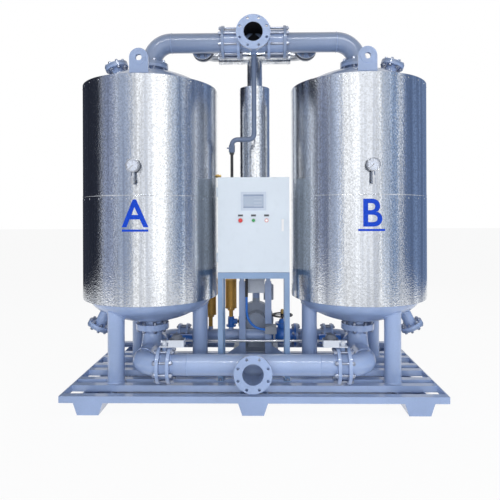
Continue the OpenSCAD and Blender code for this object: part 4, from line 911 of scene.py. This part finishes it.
class DRYER_OT_tower_marks(bpy.types.Operator):
    """Letter and underline on each tower, laid on the round jacket"""

    bl_idname = "dryer.tower_marks"
    bl_label = "Tower marks"

    def execute(self, context):
        foot_z = 1.384
        half, line_low, line_high = 0.102, 1.350, 1.367
        for text, x, name in (("A", -TOWER_X, "tower_mark_a"), ("B", TOWER_X, "tower_mark_b")):
            curve = bpy.data.curves.new(name, "FONT")
            curve.body = text
            curve.align_x = "CENTER"
            curve.offset = 0.014
            curve.resolution_u = 8
            outline = bpy.data.objects.new(name + "_outline", curve)
            bpy.context.scene.collection.objects.link(outline)
            flat = bpy.data.meshes.new_from_object(outline.evaluated_get(context.evaluated_depsgraph_get()))
            bpy.data.objects.remove(outline)
            low = min(v.co.y for v in flat.vertices)
            high = max(v.co.y for v in flat.vertices)
            scale = sizes().letter / (high - low)

            def fill(bm, flat=flat, x=x, scale=scale, low=low):
                bm.from_mesh(flat)
                bmesh.ops.scale(bm, vec=(scale * 0.98, scale, 1), verts=bm.verts)
                bmesh.ops.translate(bm, vec=(0, -low * scale + foot_z, 0), verts=bm.verts)
                line = ((-half, line_low), (half, line_low), (half, line_high), (-half, line_high))
                bm.faces.new([bm.verts.new((across, rise, 0)) for across, rise in line])
                for step in range(-12, 13):
                    geometry = [*bm.verts, *bm.edges, *bm.faces]
                    cut = (step * 0.0085, 0, 0)
                    bmesh.ops.bisect_plane(bm, geom=geometry, plane_co=cut, plane_no=ALONG_X)
                out = JACKET_R + 0.0008
                for v in bm.verts:
                    angle = v.co.x / JACKET_R
                    v.co = in_frame(x + out * math.sin(angle), -out * math.cos(angle), v.co.y)

            add_piece(name, "frame", "mark", fill, 60)
        return {"FINISHED"}


class DRYER_OT_gauges(bpy.types.Operator):
    """Dial faces with marks and numbers, bezel rings and pipe nuts of the pressure gauges"""

    bl_idname = "dryer.gauges"
    bl_label = "Gauges"

    def execute(self, context):
        case_low, case_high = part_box("gauge_cases")
        dial_z = case_high[2] - 0.05
        dial_y = case_low[1] + 0.012
        number_r = 0.026

        def faces(bm):
            for x in TOWERS:
                place = Matrix.Translation((x, dial_y, dial_z)) @ align(-ALONG_Y)
                turned(bm, place, [(0.0448, 0), (0.0448, 0.0001)], 48)

        def marks(bm):
            for x in TOWERS:
                for k in range(41):
                    angle = math.radians(SCALE_START - k * SCALE_SWEEP / 40)
                    inner = 0.033 if k % 5 == 0 else 0.0365
                    wide = 0.0009 if k % 5 == 0 else 0.0004
                    way = Vector((math.cos(angle), 0, math.sin(angle)))
                    side = Vector((-way.z, 0, way.x)) * wide
                    at = Vector((x, dial_y - 0.0003, dial_z))
                    near, far = at + way * inner, at + way * 0.041
                    corners = (near - side, far - side, far + side, near + side)
                    bm.faces.new([bm.verts.new(corner) for corner in corners])

        def bezels(bm):
            for x in TOWERS:
                weld_ring(bm, (x, case_low[1] + 0.002, dial_z), ALONG_Y, 0.0495, 0.0028, 64)
                hex_nut(bm, in_frame(x, -0.62, dial_z - 0.071), UP, 0.026)

        add_piece("gauge_dials", "frame", "dial", faces)
        add_piece("gauge_marks", "frame", "black", marks)
        add_piece("gauge_bezels", "frame", "steel", bezels)
        for x, tag in ((-TOWER_X, "a"), (TOWER_X, "b")):
            for k, number in enumerate(("0", "4", "8", "12", "16")):
                angle = math.radians(SCALE_START - k * SCALE_SWEEP / 4)
                name = f"gauge_{tag}_number_{number}"
                curve = bpy.data.curves.new(name, "FONT")
                curve.body = number
                curve.align_x = "CENTER"
                curve.align_y = "CENTER"
                curve.size = 0.011
                curve.materials.append(FINISHES["black"])
                figure = bpy.data.objects.new(name, curve)
                figure.rotation_euler = (math.pi / 2, 0, 0)
                across, rise = number_r * math.cos(angle), number_r * math.sin(angle)
                figure.location = (x + across, dial_y - 0.0004, dial_z + rise)
                bpy.context.scene.collection.objects.link(figure)
                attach(figure, "frame")
        return {"FINISHED"}


class DRYER_OT_cabinet_trim(bpy.types.Operator):
    """Display, legend plates, button collars and cable glands of the cabinet"""

    bl_idname = "dryer.cabinet_trim"
    bl_label = "Cabinet trim"

    def execute(self, context):
        low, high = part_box("touch_panel")
        floor_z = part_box("cabinet_box")[0][2]
        button_z = middle("start_button").z

        def display(bm):
            edge = 0.0205
            front = (low[0] + edge, low[1] + 0.0008, low[2] + edge)
            back = (high[0] - edge, low[1] + 0.0019, high[2] - edge)
            plate(bm, front, back, 0.0004)

        def legends(bm):
            for x in (-BUTTON_X, 0, BUTTON_X):
                front = (x - 0.02, DOOR_FACE - 0.0012, button_z + 0.032)
                back = (x + 0.02, DOOR_FACE, button_z + 0.048)
                plate(bm, front, back, 0.0004)

        def collars(bm):
            rise = 0.0042
            for x, inner in ((-BUTTON_X, 0.0182), (0, 0.0142)):
                place = Matrix.Translation((x, DOOR_FACE, button_z)) @ align(-ALONG_Y)
                outer = inner + 0.0038
                rim = [(outer, rise * 0.7), (outer - rise * 0.3, rise)]
                turned(bm, place, [(inner, 0), (outer, 0), *rim, (inner, rise)], 32, hollow=True)

        def glands(bm):
            for x in (-0.06, 0.0, 0.06):
                place = Matrix.Translation((x, PLANE_Y - 0.19, floor_z)) @ align(-UP)
                gland = [(0.019, 0), (0.019, 0.01), (0.016, 0.012), (0.016, 0.026), (0.011, 0.032)]
                turned(bm, place, gland, 18)

        add_piece("panel_display", "door", "screen", display)
        add_piece("button_legends", "door", "legend", legends)
        add_piece("button_collars", "door", "steel", collars)
        add_piece("cable_glands", "frame", "black", glands)
        return {"FINISHED"}


class DRYER_OT_fittings(bpy.types.Operator):
    """Thermometer pocket, muffler bands and the throttle's stem nut"""

    bl_idname = "dryer.fittings"
    bl_label = "Fittings"

    def execute(self, context):
        def pocket(bm):
            place = Matrix.Translation(in_frame(JACKET_R - TOWER_X, 0, 1.815)) @ align(ALONG_X)
            turned(bm, place, [(0.017, 0), (0.017, 0.014)], 6)
            turned(bm, place, [(0.011, 0.014), (0.011, 0.03), (0.008, 0.034)], 16)

        def bands(bm):
            for x, base in ((-0.24, 0.561), (-0.44, 0.497)):
                for rise in (0.004, 0.274):
                    weld_ring(bm, (x, EXHAUST_Y, base + rise), UP, MUFFLER_R, 0.003, 40)

        def stem_nut(bm):
            at = middle("throttle_wheel")
            at.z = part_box("throttle_wheel")[1][2]
            nut = [(0.017, 0), (0.017, 0.028), (0.012, 0.04), (0.005, 0.044)]
            turned(bm, Matrix.Translation(at), nut, 18)

        add_piece("throttle_stem_nut", "throttle_wheel", "brass", stem_nut)
        add_piece("thermometer_pockets", "frame", "brass", pocket)
        add_piece("muffler_bands", "frame", "brass", bands)
        return {"FINISHED"}


class DRYER_OT_stage(bpy.types.Operator):
    """Pale floor, white surround, soft lamps and the camera at the photograph's place"""

    bl_idname = "dryer.stage"
    bl_label = "Stage"

    def execute(self, context):
        self.floor()
        self.cards()
        self.surround(context.scene)
        self.lamps()
        self.camera(context.scene)
        context.scene.view_settings.view_transform = "Standard"
        return {"FINISHED"}

    def floor(self):
        """Pale floor that is seen as white, apart from the shade under the skid."""
        f = Finish("pale_floor")
        pale = f.tint((0.90, 0.90, 0.91, 1), (0.94, 0.94, 0.95, 1), f.noise(0.8, 3))
        shader = f.node("ShaderNodeBsdfDiffuse", {}, {"Color": pale})
        glow = f.node("ShaderNodeEmission", {}, {"Color": (1, 1, 1, 1), "Strength": 1.0})
        low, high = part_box("skid_frame")
        across = f.node("ShaderNodeMath", {"operation": "ABSOLUTE"}, {0: f.axis("X")})
        depth = f.axis("Y")
        under = f.step(across, high[0] + 0.02, high[0] - 0.06)
        under = under * f.step(depth, low[1] + 0.22, low[1] + 0.36) * f.step(depth, high[1], high[1] - 0.15)
        mixed = f.node("ShaderNodeMixShader", {}, {0: f.seen() * 0.93 * (1 - under), 1: shader, 2: glow})
        f.node("ShaderNodeOutputMaterial", {}, {"Surface": mixed})
        self.sheet_of("studio_floor", (40, 40), f.owner, Matrix.Identity(4))

    def cards(self):
        """Cards that only reflections show, each between two bearings from the front in degrees."""
        far, half_height, middle_z = 6.0, 2.6, 2.55
        for name, first, last, tone in (
            ("left_flag", -150, -75, (0.030, 0.034, 0.050)),
            ("left_card", -73, -50, (0.26, 0.30, 0.42)),
            ("left_veil", -48, -27, (0.50, 0.57, 0.72)),
            ("front_card", -11, 28, (1.35, 1.35, 1.35)),
            ("right_veil", 35, 46, (0.62, 0.70, 0.83)),
            ("right_card", 47, 61, (0.22, 0.31, 0.48)),
            ("right_flag", 66, 150, (0.17, 0.24, 0.40)),
        ):
            bearing = math.radians((first + last) / 2)
            size = (far * math.tan(math.radians((last - first) / 2)), half_height)
            at = (far * math.sin(bearing), -far * math.cos(bearing), middle_z)
            upright = Matrix.Rotation(bearing, 4, "Z") @ Matrix.Rotation(math.pi / 2, 4, "X")
            self.card(name, size, tone, 1.0, Matrix.Translation(at) @ upright)
        high = Matrix.Translation((0, -5.0, 5.8)) @ Matrix.Rotation(math.radians(42), 4, "X")
        self.card("high_card", (3.2, 0.12), (1.0, 1.0, 1.0), 36.0, high)

    def card(self, name, size, tone, strength, place):
        """Glowing sheet that lights nothing and shows in reflections alone."""
        f = Finish(name)
        glow = f.node("ShaderNodeEmission", {}, {"Color": shade(tone), "Strength": strength})
        f.node("ShaderNodeOutputMaterial", {}, {"Surface": glow})
        card = self.sheet_of(name, size, f.owner, place)
        card.visible_camera = False
        card.visible_diffuse = False
        card.visible_shadow = False
        card.visible_transmission = False

    def sheet_of(self, name, size, material, place):
        """Flat stage piece of a half width and a half height."""
        mesh = bpy.data.meshes.new(name)
        bm = bmesh.new()
        spread = place @ Matrix.Diagonal((*size, 1, 1))
        bmesh.ops.create_grid(bm, x_segments=1, y_segments=1, size=1, matrix=spread)
        bm.to_mesh(mesh)
        bm.free()
        made = bpy.data.objects.new(name, mesh)
        bpy.context.scene.collection.objects.link(made)
        made.data.materials.append(material)
        return made

    def surround(self, scene):
        """Soft light from all round, and plain white where it is seen."""
        scene.world = bpy.data.worlds.new("white_surround")
        f = Finish("white_surround", scene.world)
        soft = f.node("ShaderNodeBackground", {}, {"Color": (0.92, 0.95, 1.0, 1), "Strength": 0.23})
        white = f.node("ShaderNodeBackground", {}, {"Color": (1, 1, 1, 1), "Strength": 1.0})
        mixed = f.node("ShaderNodeMixShader", {}, {0: f.seen(), 1: soft, 2: white})
        f.node("ShaderNodeOutputWorld", {}, {"Surface": mixed})

    def lamps(self):
        """Soft lamps that no reflection shows."""
        for name, at, aim, size, power in (
            ("front_softbox", (0.2, -5.6, 1.7), (0, 0, 0.8), (3.4, 1.8), 170),
            ("left_softbox", (-5.0, -2.4, 2.0), (-0.6, 0, 0.9), (1.2, 3.2), 60),
            ("right_softbox", (5.0, -1.6, 2.0), (0.6, 0, 0.9), (1.2, 3.2), 70),
            ("back_softbox", (0.5, 5.0, 3.4), (0, 0, 1.2), (3.0, 2.0), 70),
        ):
            light = bpy.data.lights.new(name, "AREA")
            light.shape = "RECTANGLE"
            light.size, light.size_y = size
            light.energy = power
            lamp = bpy.data.objects.new(name, light)
            lamp.location = at
            lamp.visible_glossy = False
            lamp.rotation_euler = (Vector(aim) - Vector(at)).to_track_quat("-Z", "Y").to_euler()
            bpy.context.scene.collection.objects.link(lamp)

    def camera(self, scene):
        """Camera with the place, turn and lens that were fitted to the photograph."""
        lens = bpy.data.cameras.new("photo_camera")
        lens.sensor_width = 36.0
        lens.lens = lens.sensor_width * FOCAL_PX / IMAGE_PX
        lens.shift_x = (IMAGE_PX / 2 - CENTRE_PX[0]) / IMAGE_PX
        lens.shift_y = (CENTRE_PX[1] - IMAGE_PX / 2) / IMAGE_PX
        lens.clip_end = 200
        camera = bpy.data.objects.new("photo_camera", lens)
        camera.location = in_frame(*CAMERA_FROM_PLANE)
        level = Matrix.Rotation(CAMERA_PAN, 3, "Z") @ Matrix.Rotation(math.pi / 2, 3, "X")
        camera.rotation_euler = (level @ Matrix.Rotation(CAMERA_ROLL, 3, "Z")).to_euler()
        scene.collection.objects.link(camera)
        scene.camera = camera


class DRYER_PT_panel(bpy.types.Panel):
    """Lists the dryer's operators and settings"""

    bl_idname = "DRYER_PT_panel"
    bl_label = "Air dryer"
    bl_space_type = "VIEW_3D"
    bl_region_type = "UI"
    bl_category = "Dryer"

    def draw(self, context):
        for group in (context.scene.dryer_sizes, context.scene.dryer_colours):
            for name in group.__annotations__:
                self.layout.prop(group, name)
        for operator in OPERATORS:
            self.layout.operator(operator.bl_idname)


OPERATORS = (
    DRYER_OT_finishes,
    DRYER_OT_main_bolts,
    DRYER_OT_side_bolts,
    DRYER_OT_welds,
    DRYER_OT_jacket_trim,
    DRYER_OT_tower_marks,
    DRYER_OT_gauges,
    DRYER_OT_cabinet_trim,
    DRYER_OT_fittings,
    DRYER_OT_stage,
)
CLASSES = (DryerSizes, DryerColours, *OPERATORS, DRYER_PT_panel)


def register():
    for cls in CLASSES:
        bpy.utils.register_class(cls)
    bpy.types.Scene.dryer_sizes = bpy.props.PointerProperty(type=DryerSizes)
    bpy.types.Scene.dryer_colours = bpy.props.PointerProperty(type=DryerColours)


def unregister():
    del bpy.types.Scene.dryer_colours
    del bpy.types.Scene.dryer_sizes
    for cls in reversed(CLASSES):
        bpy.utils.unregister_class(cls)


def main():
    register()
    bpy.ops.dryer.finishes()
    bpy.ops.dryer.main_bolts()
    bpy.ops.dryer.side_bolts()
    bpy.ops.dryer.welds()
    bpy.ops.dryer.jacket_trim()
    bpy.ops.dryer.tower_marks()
    bpy.ops.dryer.gauges()
    bpy.ops.dryer.cabinet_trim()
    bpy.ops.dryer.fittings()
    bpy.ops.dryer.stage()


if __name__ == "__main__":
    main()
